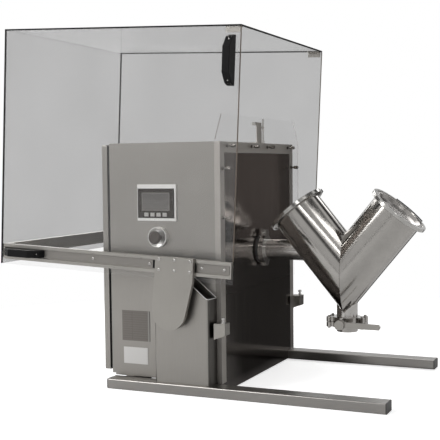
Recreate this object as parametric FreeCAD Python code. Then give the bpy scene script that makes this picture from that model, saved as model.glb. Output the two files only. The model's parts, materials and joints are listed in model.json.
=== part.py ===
# Laboratory bin blender: a floor frame carries a drive cabinet, a V-shaped mixing vessel
# turns on a horizontal shaft, and a clear guard hood swings over the vessel.
# +X runs along the drive shaft towards the vessel, +Z is up, and -Y is the operator's side.
# The origin is on the floor, on the machine's mid-plane, under the cross tube at the drive wall.
import FreeCAD
import Part
import math
import os

V = FreeCAD.Vector
X_AXIS = V(1, 0, 0)
Y_AXIS = V(0, 1, 0)
Z_AXIS = V(0, 0, 1)
ORIGIN = V(0, 0, 0)

# Clearances
GAP = 0.3                # between faces of pieces that move apart
RUNNING_FIT = 0.05       # radial clearance of a turning pair
SLIP = 1.0               # loose fit of a sheet in its opening
TOUCH = 1e-6             # two places closer than this are one

# Floor frame
TUBE_WIDTH = 80.0
TUBE_HEIGHT = 42.0
TUBE_WALL = 3.0
TUBE_CORNER = 5.0
TUBE_REACH = 722.0       # from the origin to the end under the vessel
TUBE_TAIL = 480.0        # from the origin to the end behind the cabinet
CROSS_WIDTH = 40.0
CROSS_FACE = 14.0        # right face of the cross tube at the drive wall
TAIL_CROSS_INSET = 40.0  # from the tail end to the other cross tube
CAP_THICKNESS = 4.0
CAP_PLUG = 14.0

# Cabinet
CABINET_HALF = 436.0     # half of the depth from front to rear
CABINET_LEFT = -502.0
CABINET_TOP = 1041.0
PLINTH_HEIGHT = 10.0
PLINTH_INSET = 10.0
SHEET = 3.0
LIP = 24.0               # inward lip round the service opening
SEAM_HEIGHT = 473.0
SEAM_WIDTH = 2.0
SEAM_DEPTH = 1.0

# Drive wall and its dark polished panel
WALL_FACE = 17.0
WALL_RETURN = 25.0
WALL_SKIN = 5.0
BORDER_WIDTH = 45.0
APRON_CLEARANCE = 3.0

# Service cover at the left
COVER_DEPTH = 25.0
COVER_GASKET = 11.0
COVER_BOTTOM = 65.0
COVER_TOP = 1035.0
COVER_SHEET = 2.5
GASKET_WIDTH = 16.0
COVER_SCREW_INSET = 20.0

# Hood pivot and hood
PIVOT_X = -173.0
PIVOT_Z = 347.0
HOOD_TILT = 2.8          # degrees that the open hood leans over
SHIELD_OVERHANG = 62.0   # how far the clear shield reaches past the cabinet
HOOD_SIDE_GAP = 5.0
PANEL = 6.0
HOOD_TAIL = -860.0       # along the bars, from the pivot
BAR_TAIL = -833.0
HOOD_REACH = 265.0
HOOD_TOP = 1162.0        # across the bars, from the pivot
SKIRT = 130.0            # lower edge of the side panels
BAR_LOW = 154.0
BAR_HIGH = 222.0
BAR_DEPTH = 16.0
BAR_WALL = 4.0
BAR_LIP = 14.0
BAR_END = 6.0
STRIP_THICKNESS = 3.0
STRIP_MARGIN = 2.0
STRIP_END_GAP = 5.0
STRIP_SLOT = 12.0
STRIP_HOLE = 232.0
STRIP_HOLE_RADIUS = 4.5
CROSS_BAR_WALL = 16.0
CROSS_BAR_MARGIN = 4.0
GUSSET_LEG = 25.0
GUSSET_LENGTH = 62.0
GUSSET_SHEET = 3.0
BAR_SCREWS = (-378.0, -106.0, 133.0)
SCREW_RADIUS = 7.0
SCREW_HEAD = 4.0

# Lever arms
ARM_THICKNESS = 18.0
ARM_LEFT = -66.0
ARM_RIGHT = 104.0
ARM_TOP = 226.0
ARM_SHOULDER = 130.0
ARM_EYE = 76.0
ARM_SCREW_COLUMNS = (-49.0, 21.0, 91.0)
ARM_SCREW_ROWS = (171.0, 214.0)

# Pivot shaft and its bushes
PIVOT_RADIUS = 15.0
PIVOT_SHOULDER = 24.0
PIVOT_SEAT = 10.0        # depth of the blind seat in each arm
BUSH_RADIUS = 22.0
BUSH_FLANGE = 30.0
BUSH_FLANGE_THICKNESS = 3.0

# Pillars that carry the pivot
PILLAR_LEFT = -262.0     # at the front face
PILLAR_RIGHT = -16.0
PILLAR_SPLAY = 12.0      # widening of each side towards the cabinet
PILLAR_DEPTH = 60.0
PILLAR_TOP = 490.0
PILLAR_CORNER = 16.0
MOUTH_Z = 400.0          # height of the slanted mouth at its lowest rear corner
MOUTH_SLOPE = 0.829      # rise of the mouth towards the left
MOUTH_PITCH = 0.285      # rise of the mouth towards the cabinet

# Stops
LUG_LOW = 190.0
LUG_HIGH = 218.0
LUG_LEFT = -13.0
LUG_RIGHT = 22.0
LUG_DEPTH = 42.0
STOP_TAB_X = -207.0
STOP_TAB = 6.0
STOP_TAB_LOW = 445.0
STOP_TAB_HIGH = 552.0
BUFFER_RADIUS = 10.0
BRACKET_GAP = 8.0
BRACKET_RIGHT = 53.0
BRACKET_TOP = 300.0
BRACKET_DROP = 66.0
BRACKET_RISE = 18.0
BRACKET_SHEET = 4.0
BRACKET_DEPTH = 50.0
STUD_ACROSS = 212.0      # from the pivot to the stop stud
STUD_INSET = 33.0        # from the hood's side panel to the stop stud
STUD_RADIUS = 5.0
STUD_HEAD_RADIUS = 8.5
STUD_HEAD = 9.0
NUT_HEIGHT = 6.0

# Clear shield on the drive wall
SHIELD_STANDOFF = 3.0
SHIELD_THICKNESS = 6.0
SHIELD_TOP = 1153.0
SHIELD_BOTTOM = 405.0
SHIELD_NOTCH = 485.0
SHIELD_CHAMFER_WIDTH = 65.0
SHIELD_CHAMFER_HEIGHT = 105.0
SHIELD_BORE = 68.0
KNOB_RADIUS = 7.5
KNOB_LENGTH = 28.0
TOP_KNOB_Z = 1024.0
TOP_KNOBS = (-360.0, -95.0, 95.0, 360.0)
SIDE_KNOB_Y = 411.0
SIDE_KNOBS_Z = (526.0, 728.0, 930.0)

# Safety sensor on top of the drive wall
SENSOR_PLATE_FRONT = -20.0
SENSOR_PLATE_REAR = 36.0
SENSOR_PLATE = 3.0
SENSOR_HEIGHT = 92.0
SENSOR_FOOT = 34.0
SENSOR_SWITCH = (-40.0, 30.0, 13.0)
SENSOR_ROD = 4.0
SENSOR_EYE = 6.8
SENSOR_SOCKET = 6.4
SENSOR_ROD_Y = 58.0
SENSOR_ROD_TOP = 1150.0

# Operator panel
SURROUND = (-363.0, -181.0, 713.0, 866.0)
BEZEL = (-360.5, -188.5, 724.5, 849.0)
SCREEN = (-341.0, -209.0, 756.0, 832.0)
SURROUND_DEPTH = 9.0
BEZEL_DEPTH = 13.0
HMI_BACK_DEPTH = 46.0
HMI_BACK_INSET = 9.0
SCREEN_RECESS = 1.5
SCREEN_THICKNESS = 2.0
KEY_FIRST_X = -318.0
KEY_PITCH = 28.8
KEY_Z = 739.5
KEY_WIDTH = 19.0
KEY_HEIGHT = 15.5
KEY_PROUD = 2.5
KEY_BODY = 6.0
KEY_TRAVEL = 1.5
ESTOP_X = -266.0
ESTOP_Z = 645.0
ESTOP_COLLAR = 43.0
ESTOP_COLLAR_DEPTH = 20.0
ESTOP_HEAD = 27.0
ESTOP_HEAD_THICKNESS = 15.0
ESTOP_REACH = 50.0
ESTOP_NECK = 13.0
ESTOP_TRAVEL = 4.0
PLATE_THICKNESS = 1.5
CHART_PLATE = (-450.0, -316.0, 197.0, 327.0)
NAME_PLATE = (-444.0, -328.0, 98.0, 169.0)

# Drive
SHAFT_Z = 566.0
DRIVE_RADIUS = 25.0
JOURNAL_RADIUS = 30.0
NECK_RADIUS = 45.0
NECK_WALL = 3.0
FERRULE_RADIUS = 53.0
FERRULE_EDGE = 3.0
FERRULE_TAPER = 2.6
FERRULE_X = 40.0
HOUSING_RADIUS = 62.0
HOUSING_LENGTH = 51.0
HOUSING_FLANGE = 96.0
HOUSING_FLANGE_THICKNESS = 15.0
SEAL_RADIUS = 60.0
SEAL_THICKNESS = 9.0
GEARBOX_LENGTH = 145.0
GEARBOX_HALF = 100.0
GEARBOX_BELOW = 105.0
GEARBOX_ABOVE = 95.0
GEARBOX_COVER = 10.0
MOTOR_RADIUS = 66.0
MOTOR_FLANGE = 82.0
MOTOR_FLANGE_THICKNESS = 12.0
MOTOR_LENGTH = 200.0
MOTOR_FIN = 8.0
MOTOR_FINS = 16
FAN_COVER_LENGTH = 48.0

# Clamp between the drive shaft and the vessel
CLAMP_RADIUS = 63.0
CLAMP_WIDTH = 22.0
CLAMP_SPLIT = 3.0
CLAMP_EAR = 26.0
WING_SPAN = 34.0
WING_TURN = 60.0         # degrees

# Vessel
VESSEL_X = 421.0
LEG_CROSS_Z = 468.0
LEG_ANGLE = 39.5         # degrees of each leg off the vertical
LEG_RADIUS = 114.5
LEG_LENGTH = 355.0
VESSEL_WALL = 3.0
RIM_RADIUS = 130.0
RIM_THICKNESS = 8.0
OUTLET_RADIUS = 45.0
OUTLET_END = 282.0

# Lids, clamp rings and their levers
LID_SEAL = 2.0
LID_THICKNESS = 6.0
LID_DISH = 16.0
LID_DISH_RADIUS = 104.0
LID_BEND = 9.0
RING_THICKNESS = 6.0
RING_LIP = 9.0
RING_SPLIT = 7.0         # degrees
LEVER_ARC = 62.0         # degrees
LEVER_GAP = 3.0
LEVER_THICKNESS = 5.0
LEVER_HEIGHT = 13.0
LEVER_EYE = 5.0
LEVER_PIN = 2.5
LEFT_LEVER_ANGLE = 32.0  # middle of the lever, from the rear towards +X
RIGHT_LEVER_ANGLE = 8.0

# Butterfly valve
VALVE_RADIUS = 62.0
VALVE_HEIGHT = 44.0
VALVE_BORE = 40.0
VALVE_GROOVE = 2.0
VALVE_LUG_RADIUS = 12.0
VALVE_LUG_CIRCLE = 78.0
VALVE_LUG_ANGLE = 20.0
VALVE_BOSS_RADIUS = 15.0
VALVE_BOSS_LENGTH = 34.0
SPIGOT_LENGTH = 20.0
STEM_RADIUS = 8.0
DISC_THICKNESS = 5.0
HUB_RADIUS = 21.0
HUB_LENGTH = 28.0
VALVE_LEVER_LENGTH = 172.0
VALVE_LEVER_HEIGHT = 26.0
VALVE_LEVER_THICKNESS = 6.0

# Handles
HANDLE_LENGTH = 200.0
HANDLE_WIDTH = 32.0
HANDLE_HEIGHT = 60.0
HANDLE_FOOT = 36.0
HANDLE_GRIP = 15.0
HANDLE_TOE = 4.0             # upright edge next to the hood
HANDLE_CHEEK = 9.0           # from the end to the start of the slope
HANDLE_CHEEK_HEIGHT = 29.0
HANDLE_SHOULDER = 50.0       # from the end to the flat top
HANDLE_CORNER = 11.0         # slope in the corners of the finger room
HANDLE_SHELL = 4.0           # wall that closes one side of the finger room
HANDLE_ROUND = 3.0
HANDLE_SCREW_INSET = 20.0
UPPER_HANDLE_INSET = 37.0    # from the hood's open end
UPPER_HANDLE_DROP = 141.0    # from the hood's top
LOWER_HANDLE_INSET = 134.0   # from the hood's closed end

# Cable gland and control gear
GLAND_X = -400.0
GLAND_Z = 130.0
GLAND_RADIUS = 15.0
GLAND_LENGTH = 22.0
GEAR_PLATE = (-470.0, -240.0, 560.0, 960.0)
CONTROLLER_WIDTH = 120.0
CONTROLLER_HEIGHT = 190.0
CONTROLLER_DEPTH = 130.0
CONTROLLER_FIN = 4.0
CONTROLLER_FINS = 7
TERMINALS = 9
TERMINAL_PITCH = 20.0
TERMINAL_DEPTH = 37.0
TERMINAL_HEIGHT = 55.0
RAIL_DEPTH = 8.0
RAIL_HEIGHT = 35.0
GEAR_MARGIN = 20.0

# Places that follow from the sizes above
SHIELD_HALF = CABINET_HALF + SHIELD_OVERHANG
TUBE_FRONT = -CABINET_HALF - TUBE_WIDTH
REAR_TUBE_INNER = CABINET_HALF - TUBE_WIDTH
CABINET_RIGHT = WALL_FACE - WALL_RETURN
BRACKET_LEFT = PILLAR_RIGHT + PILLAR_SPLAY + BRACKET_GAP
CABINET_BOTTOM = TUBE_HEIGHT + PLINTH_HEIGHT
SKIN_BACK = CROSS_FACE - WALL_SKIN
HOOD_INNER = SHIELD_HALF + HOOD_SIDE_GAP
HOOD_OUTER = HOOD_INNER + PANEL
BAR_OUTER = HOOD_OUTER + BAR_DEPTH
ARM_OUTER = BAR_OUTER + ARM_THICKNESS
PILLAR_FRONT = CABINET_HALF + PILLAR_DEPTH
SHIELD_BACK = WALL_FACE + SHIELD_STANDOFF
SHIELD_OUTER = SHIELD_BACK + SHIELD_THICKNESS
HOUSING_BACK = SKIN_BACK - HOUSING_LENGTH
GEARBOX_BACK = HOUSING_BACK - GEARBOX_LENGTH
VALVE_Z = OUTLET_END - VALVE_HEIGHT / 2


# Basic solids

def box(x0, x1, y0, y1, z0, z1):
    return Part.makeBox(x1 - x0, y1 - y0, z1 - z0, V(x0, y0, z0))


def rod(radius, start, end):
    """Cylinder of this radius between two points."""
    line = end - start
    return Part.makeCylinder(radius, line.Length, start, line)


def pipe(outer, inner, start, end):
    return rod(outer, start, end).cut(rod(inner, start, end))


def outline(points):
    """Closed face through the points."""
    return Part.Face(Part.makePolygon(list(points) + [points[0]]))


def prism_y(points, y0, y1):
    """Solid between two Y planes from (x, z) points."""
    return outline([V(x, y0, z) for x, z in points]).extrude(V(0, y1 - y0, 0))


def prism_x(points, x0, x1):
    """Solid between two X planes from (y, z) points."""
    return outline([V(x0, y, z) for y, z in points]).extrude(V(x1 - x0, 0, 0))


def turned(points, centre, axis):
    """Solid turned about an axis from (radius, height) points, height along the axis."""
    face = outline([V(radius, 0, height) for radius, height in points])
    solid = face.revolve(ORIGIN, Z_AXIS, 360)
    solid.Placement = FreeCAD.Placement(centre, FreeCAD.Rotation(Z_AXIS, axis))
    return solid


def mirrored(shape):
    """Copy on the other side of the machine's mid-plane."""
    return shape.mirror(ORIGIN, Y_AXIS)


def pair(shape):
    return Part.makeCompound([shape, mirrored(shape)])


def edges_along(shape, axis):
    """Straight edges parallel to an axis."""
    straight = [edge for edge in shape.Edges if isinstance(edge.Curve, Part.Line)]
    return [edge for edge in straight if abs(abs(edge.tangentAt(edge.FirstParameter).dot(axis)) - 1) < TOUCH]


def rounded_box(x0, x1, y0, y1, z0, z1, radius, axis):
    solid = box(x0, x1, y0, y1, z0, z1)
    return solid.makeFillet(radius, edges_along(solid, axis))


def dome_screw(seat, axis):
    """Low domed head of a screw that sits on a face."""
    crown = SCREW_RADIUS * 0.6
    rim = SCREW_HEAD * 0.45
    points = [(0, 0), (SCREW_RADIUS, 0), (SCREW_RADIUS, rim), (crown, SCREW_HEAD), (0, SCREW_HEAD)]
    return turned(points, seat, axis)


# Floor frame

def square_tube(x0, x1, y0, y1, axis):
    outer = rounded_box(x0, x1, y0, y1, 0, TUBE_HEIGHT, TUBE_CORNER, axis)
    along_x = axis == X_AXIS
    dx = 0 if along_x else TUBE_WALL
    dy = TUBE_WALL if along_x else 0
    inner = box(x0 + dx, x1 - dx, y0 + dy, y1 - dy, TUBE_WALL, TUBE_HEIGHT - TUBE_WALL)
    return outer.cut(inner)


def base_frame():
    front = square_tube(-TUBE_TAIL, TUBE_REACH, TUBE_FRONT, -CABINET_HALF, X_AXIS)
    rear = square_tube(-TUBE_TAIL, TUBE_REACH, REAR_TUBE_INNER, CABINET_HALF, X_AXIS)
    tail_x = -TUBE_TAIL + TAIL_CROSS_INSET
    drive = square_tube(CROSS_FACE - CROSS_WIDTH, CROSS_FACE, -CABINET_HALF, REAR_TUBE_INNER, Y_AXIS)
    tail = square_tube(tail_x, tail_x + CROSS_WIDTH, -CABINET_HALF, REAR_TUBE_INNER, Y_AXIS)
    return Part.makeCompound([front, rear, drive, tail])


def end_cap(x, side, y0, y1):
    """Plug and lid of one tube end; side is +1 at the reach end and -1 at the tail."""
    x_out = x + side * CAP_THICKNESS
    x_in = x - side * CAP_PLUG
    lid = rounded_box(min(x, x_out), max(x, x_out), y0, y1, 0, TUBE_HEIGHT, TUBE_CORNER, X_AXIS)
    inset = TUBE_WALL + GAP
    plug = box(min(x, x_in), max(x, x_in), y0 + inset, y1 - inset, inset, TUBE_HEIGHT - inset)
    return lid.fuse(plug).removeSplitter()


def tube_end_caps():
    rows = ((TUBE_FRONT, -CABINET_HALF), (REAR_TUBE_INNER, CABINET_HALF))
    ends = ((TUBE_REACH, 1), (-TUBE_TAIL, -1))
    return Part.makeCompound([end_cap(x, side, y0, y1) for y0, y1 in rows for x, side in ends])


# Cabinet

def cabinet_shell():
    body = box(CABINET_LEFT, CABINET_RIGHT, -CABINET_HALF, CABINET_HALF, CABINET_BOTTOM, CABINET_TOP)
    plinth_half = CABINET_HALF - PLINTH_INSET
    plinth = box(CABINET_LEFT + PLINTH_INSET, CABINET_RIGHT, -plinth_half, plinth_half,
                 TUBE_HEIGHT, CABINET_BOTTOM)
    room = box(CABINET_LEFT + SHEET, CABINET_RIGHT, SHEET - CABINET_HALF, CABINET_HALF - SHEET,
               CABINET_BOTTOM + SHEET, CABINET_TOP - SHEET)
    opening = box(CABINET_LEFT, CABINET_LEFT + SHEET, LIP - CABINET_HALF, CABINET_HALF - LIP,
                  CABINET_BOTTOM + LIP, CABINET_TOP - LIP)
    shell = body.fuse(plinth).cut(room).cut(opening)
    seam = box(CABINET_LEFT, CABINET_RIGHT, -CABINET_HALF, SEAM_DEPTH - CABINET_HALF,
               SEAM_HEIGHT, SEAM_HEIGHT + SEAM_WIDTH)
    shell = shell.cut(seam).cut(hmi_cutout())
    estop = rod(ESTOP_NECK + GAP, V(ESTOP_X, -CABINET_HALF, ESTOP_Z),
                V(ESTOP_X, SHEET - CABINET_HALF, ESTOP_Z))
    gland = rod(GLAND_RADIUS * 0.7, V(GLAND_X, CABINET_HALF - SHEET, GLAND_Z),
                V(GLAND_X, CABINET_HALF, GLAND_Z))
    return shell.cut(pivot_hole()).cut(estop).cut(gland).removeSplitter()


def pivot_hole():
    return rod(BUSH_RADIUS, V(PIVOT_X, -ARM_OUTER, PIVOT_Z), V(PIVOT_X, ARM_OUTER, PIVOT_Z))


def hmi_cutout():
    x0, x1, z0, z1 = BEZEL
    inset = HMI_BACK_INSET
    return box(x0 + inset, x1 - inset, -CABINET_HALF, SHEET - CABINET_HALF, z0 + inset, z1 - inset)


def shaft_hole(x0, x1, radius):
    return rod(radius, V(x0, 0, SHAFT_Z), V(x1, 0, SHAFT_Z))


def drive_wall_frame():
    """Pan that closes the cabinet at the vessel side, with a raised border on its face."""
    pan = box(CABINET_RIGHT, CROSS_FACE, -CABINET_HALF, CABINET_HALF, TUBE_HEIGHT, CABINET_TOP)
    inner = CABINET_HALF - BAR_WALL
    pocket = box(CABINET_RIGHT, SKIN_BACK, -inner, inner, TUBE_HEIGHT + BAR_WALL, CABINET_TOP - BAR_WALL)
    border = box(CROSS_FACE, WALL_FACE, -CABINET_HALF, CABINET_HALF, TUBE_HEIGHT, CABINET_TOP)
    window_half = CABINET_HALF - BORDER_WIDTH
    window = box(CROSS_FACE, WALL_FACE, -window_half, window_half, TUBE_HEIGHT, CABINET_TOP - BORDER_WIDTH)
    hole = shaft_hole(SKIN_BACK, WALL_FACE, NECK_RADIUS + PANEL)
    return pan.cut(pocket).fuse(border.cut(window)).cut(hole).removeSplitter()


def mirror_panel():
    half = CABINET_HALF - BORDER_WIDTH - SLIP
    inner = REAR_TUBE_INNER - SLIP
    sheet = box(CROSS_FACE, WALL_FACE, -half, half, TUBE_HEIGHT + GAP, CABINET_TOP - BORDER_WIDTH - SLIP)
    link = box(CROSS_FACE, WALL_FACE, -half, inner, TUBE_HEIGHT - SLIP, TUBE_HEIGHT + SLIP)
    apron = box(CROSS_FACE, WALL_FACE, SLIP - CABINET_HALF, inner, APRON_CLEARANCE, TUBE_HEIGHT - GAP)
    passage = shaft_hole(CROSS_FACE, WALL_FACE, NECK_RADIUS + PANEL)
    return sheet.fuse([link, apron]).cut(passage).removeSplitter()


def service_cover():
    x_out = CABINET_LEFT - COVER_GASKET - COVER_DEPTH
    x_in = CABINET_LEFT - COVER_GASKET
    pan = rounded_box(x_out, x_in, -CABINET_HALF, CABINET_HALF, COVER_BOTTOM, COVER_TOP, 2 * SHEET, X_AXIS)
    room = box(x_out + COVER_SHEET, x_in - COVER_SHEET,
               COVER_SHEET - CABINET_HALF, CABINET_HALF - COVER_SHEET,
               COVER_BOTTOM + COVER_SHEET, COVER_TOP - COVER_SHEET)
    mouth = box(x_in - COVER_SHEET, x_in, LIP - CABINET_HALF, CABINET_HALF - LIP,
                COVER_BOTTOM + LIP, COVER_TOP - LIP)
    return pan.cut(room).cut(mouth).removeSplitter()


def cover_gasket():
    margin = (LIP - GASKET_WIDTH) / 2
    x0 = CABINET_LEFT - COVER_GASKET
    half = CABINET_HALF - margin
    ring = box(x0, CABINET_LEFT, -half, half, COVER_BOTTOM + margin, COVER_TOP - margin)
    inner = half - GASKET_WIDTH
    hole = box(x0, CABINET_LEFT, -inner, inner, COVER_BOTTOM + LIP - margin, COVER_TOP - LIP + margin)
    return ring.cut(hole)


def cover_screws():
    x = CABINET_LEFT - COVER_GASKET - COVER_DEPTH
    z_low = COVER_BOTTOM + COVER_SCREW_INSET
    z_high = COVER_TOP - COVER_SCREW_INSET
    y = CABINET_HALF - COVER_SCREW_INSET
    heights = (z_low, (z_low + z_high) / 2, z_high)
    heads = [dome_screw(V(x, side * y, z), V(-1, 0, 0)) for side in (-1, 1) for z in heights]
    return Part.makeCompound(heads)


def front_plates():
    plates = []
    for x0, x1, z0, z1 in (CHART_PLATE, NAME_PLATE):
        plates.append(box(x0, x1, -CABINET_HALF - PLATE_THICKNESS, -CABINET_HALF, z0, z1))
    return Part.makeCompound(plates)


# Pillars, bushes and stops

def pillar_column(inset):
    """Tapered column of the pillar; the inset gives its hollow."""
    y0 = inset - PILLAR_FRONT
    y1 = -CABINET_HALF - inset
    splay = PILLAR_SPLAY
    corners = [V(PILLAR_LEFT + inset, y0, TUBE_HEIGHT), V(PILLAR_RIGHT - inset, y0, TUBE_HEIGHT),
               V(PILLAR_RIGHT + splay - inset, y1, TUBE_HEIGHT),
               V(PILLAR_LEFT - splay + inset, y1, TUBE_HEIGHT)]
    column = outline(corners).extrude(V(0, 0, PILLAR_TOP - TUBE_HEIGHT))
    front = [edge for edge in edges_along(column, Z_AXIS) if abs(edge.Vertexes[0].Y - y0) < TOUCH]
    return column.makeFillet(PILLAR_CORNER - inset, front)


def mouth_height(x, y):
    return MOUTH_Z - MOUTH_SLOPE * (x - PILLAR_RIGHT - PILLAR_SPLAY) + MOUTH_PITCH * (y + CABINET_HALF)


def mouth_cut():
    """Block above the slanted plane that trims the pillar's top."""
    x0 = PILLAR_LEFT
    x1 = PILLAR_RIGHT + 2 * PILLAR_SPLAY
    y0 = -PILLAR_FRONT - PILLAR_SPLAY
    y1 = -CABINET_HALF
    corners = [V(x, y, mouth_height(x, y)) for x, y in ((x0, y0), (x1, y0), (x1, y1), (x0, y1))]
    return outline(corners).extrude(V(0, 0, PILLAR_TOP))


def pillar():
    """Hollow pillar in front of the cabinet, open on top, with the tab of the opening stop."""
    column = pillar_column(0).cut(pillar_column(SHEET)).cut(mouth_cut())
    tab = box(STOP_TAB_X, STOP_TAB_X + STOP_TAB, SHEET - PILLAR_FRONT, -CABINET_HALF,
              STOP_TAB_LOW, STOP_TAB_HIGH)
    top = [edge for edge in edges_along(tab, X_AXIS) if abs(edge.Vertexes[0].Z - STOP_TAB_HIGH) < TOUCH]
    tab = tab.makeFillet(PILLAR_CORNER, top)
    return column.fuse(tab).cut(pivot_hole()).removeSplitter()


def pivot_bush():
    """Flanged bush through the pillar and the cabinet's sheet."""
    y_end = SHEET - CABINET_HALF
    sleeve = rod(BUSH_RADIUS, V(PIVOT_X, -PILLAR_FRONT, PIVOT_Z), V(PIVOT_X, y_end, PIVOT_Z))
    flange = rod(BUSH_FLANGE, V(PIVOT_X, -PILLAR_FRONT - BUSH_FLANGE_THICKNESS, PIVOT_Z),
                 V(PIVOT_X, -PILLAR_FRONT, PIVOT_Z))
    bore = rod(PIVOT_RADIUS + RUNNING_FIT, V(PIVOT_X, -ARM_OUTER, PIVOT_Z), V(PIVOT_X, 0, PIVOT_Z))
    return sleeve.fuse(flange).cut(bore).removeSplitter()


def open_stop_buffer():
    """Rubber buffer on the pillar's tab that the open hood's lug leans on."""
    contact = hood_point(LUG_LEFT, 0, LUG_LOW)
    y = stop_stud_y()
    z = STOP_TAB_HIGH - BUFFER_RADIUS
    return rod(BUFFER_RADIUS, V(STOP_TAB_X + STOP_TAB, y, z), V(contact.x - GAP, y, z))


def stop_stud_x():
    return PIVOT_X + STUD_ACROSS


def stop_stud_y():
    return -HOOD_INNER + STUD_INSET


def closed_stop_bracket():
    """Folded bracket on the cabinet's front edge that carries the closing stop."""
    y1 = -CABINET_HALF
    y0 = y1 - BRACKET_DEPTH
    low = BRACKET_TOP - BRACKET_DROP
    side = [(BRACKET_LEFT, BRACKET_TOP), (BRACKET_RIGHT, BRACKET_TOP), (BRACKET_RIGHT, low + BRACKET_RISE),
            (BRACKET_LEFT, low)]
    block = prism_y(side, y0, y1)
    room = box(BRACKET_LEFT + BRACKET_SHEET, BRACKET_RIGHT - BRACKET_SHEET, y0 + BRACKET_SHEET, y1,
               low - BRACKET_RISE, BRACKET_TOP - BRACKET_SHEET)
    hole = rod(STUD_RADIUS, V(stop_stud_x(), stop_stud_y(), low),
               V(stop_stud_x(), stop_stud_y(), BRACKET_TOP))
    return block.cut(room).cut(hole).removeSplitter()


def closed_stop_stud():
    """Threaded stud with lock nuts and a round head that the closed hood rests on."""
    x = stop_stud_x()
    y = stop_stud_y()
    top = PIVOT_Z - LUG_RIGHT - GAP
    shank = rod(STUD_RADIUS, V(x, y, BRACKET_TOP - BRACKET_SHEET - 2 * NUT_HEIGHT), V(x, y, top - STUD_HEAD))
    head = rod(STUD_HEAD_RADIUS, V(x, y, top - STUD_HEAD), V(x, y, top))
    head = head.makeChamfer(STUD_HEAD / 4, [edge for edge in head.Edges if edge.BoundBox.ZMin > top - GAP])
    upper = hex_nut(V(x, y, BRACKET_TOP), STUD_RADIUS * 1.7, NUT_HEIGHT)
    lower = hex_nut(V(x, y, BRACKET_TOP - BRACKET_SHEET - NUT_HEIGHT), STUD_RADIUS * 1.7, NUT_HEIGHT)
    return shank.fuse([head, upper, lower]).removeSplitter()


def hex_nut(centre, corner_radius, height):
    points = []
    for i in range(6):
        angle = math.radians(60 * i)
        points.append(V(centre.x + corner_radius * math.cos(angle),
                        centre.y + corner_radius * math.sin(angle),
                        centre.z))
    return outline(points).extrude(V(0, 0, height))


# Hood, drawn upright about its pivot and then leaned over

def hood_placement():
    return FreeCAD.Placement(V(PIVOT_X, 0, PIVOT_Z), FreeCAD.Rotation(Y_AXIS, HOOD_TILT))


def hood_point(along, y, across):
    return hood_placement().multVec(V(along, y, across))


def on_hood(shape):
    placed = shape.copy()
    placed.Placement = hood_placement().multiply(placed.Placement)
    return placed


def side_panel():
    return box(HOOD_TAIL + PANEL, HOOD_REACH, -HOOD_OUTER, -HOOD_INNER, SKIRT, HOOD_TOP - PANEL)


def hood_front_panel():
    return on_hood(side_panel())


def hood_rear_panel():
    return on_hood(mirrored(side_panel()))


def hood_top_panel():
    return on_hood(box(HOOD_TAIL, HOOD_REACH - PANEL, -HOOD_INNER, HOOD_INNER, HOOD_TOP - PANEL, HOOD_TOP))


def hood_end_panel():
    return on_hood(box(HOOD_TAIL, HOOD_TAIL + PANEL, -HOOD_INNER, HOOD_INNER, SKIRT, HOOD_TOP - PANEL))


def hood_corner_seals():
    """Square black seals that fill the corners between the clear panels."""
    long_edge = box(HOOD_TAIL, HOOD_REACH, -HOOD_OUTER, -HOOD_INNER, HOOD_TOP - PANEL, HOOD_TOP)
    post = box(HOOD_TAIL, HOOD_TAIL + PANEL, -HOOD_OUTER, -HOOD_INNER, SKIRT, HOOD_TOP - PANEL)
    mouth = box(HOOD_REACH - PANEL, HOOD_REACH, -HOOD_INNER, HOOD_INNER, HOOD_TOP - PANEL, HOOD_TOP)
    seals = [long_edge, mirrored(long_edge), post, mirrored(post), mouth]
    return on_hood(Part.makeCompound(seals))


def side_bar():
    """Tray-shaped bar along the lower edge of a side panel, open to the outside."""
    tray = box(BAR_TAIL, HOOD_REACH, -BAR_OUTER, -HOOD_OUTER, BAR_LOW, BAR_HIGH)
    room = box(BAR_TAIL + BAR_END, HOOD_REACH - BAR_END, -BAR_OUTER, -HOOD_OUTER - BAR_WALL,
               BAR_LOW + BAR_LIP, BAR_HIGH - BAR_LIP)
    return tray.cut(room)


def hood_bars():
    x0 = HOOD_TAIL + PANEL
    cross = box(x0, x0 + CROSS_BAR_WALL, -HOOD_INNER, HOOD_INNER,
                BAR_LOW + CROSS_BAR_MARGIN, BAR_HIGH - CROSS_BAR_MARGIN)
    room = box(x0 + BAR_WALL, x0 + CROSS_BAR_WALL, -HOOD_INNER, HOOD_INNER,
               BAR_LOW + CROSS_BAR_MARGIN + BAR_WALL, BAR_HIGH - CROSS_BAR_MARGIN - BAR_WALL)
    bar = side_bar()
    return on_hood(Part.makeCompound([bar, mirrored(bar), cross.cut(room)]))


def bar_middle():
    return (BAR_LOW + BAR_HIGH) / 2


def strip_face():
    return -HOOD_OUTER - BAR_WALL - STRIP_THICKNESS


def hood_bar_strips():
    """Flat clamping strips in the trays, left and right of each arm."""
    z0 = BAR_LOW + BAR_LIP + STRIP_MARGIN
    z1 = BAR_HIGH - BAR_LIP - STRIP_MARGIN
    y1 = -HOOD_OUTER - BAR_WALL
    end = BAR_END + STRIP_END_GAP
    spans = ((BAR_TAIL + end, ARM_LEFT - STRIP_SLOT), (ARM_RIGHT + STRIP_END_GAP, HOOD_REACH - end))
    strips = [box(x0, x1, strip_face(), y1, z0, z1) for x0, x1 in spans]
    middle = bar_middle()
    hole = rod(STRIP_HOLE_RADIUS, V(STRIP_HOLE, strip_face(), middle), V(STRIP_HOLE, y1, middle))
    strips[1] = strips[1].cut(hole)
    return on_hood(Part.makeCompound(strips + [mirrored(strip) for strip in strips]))


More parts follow.
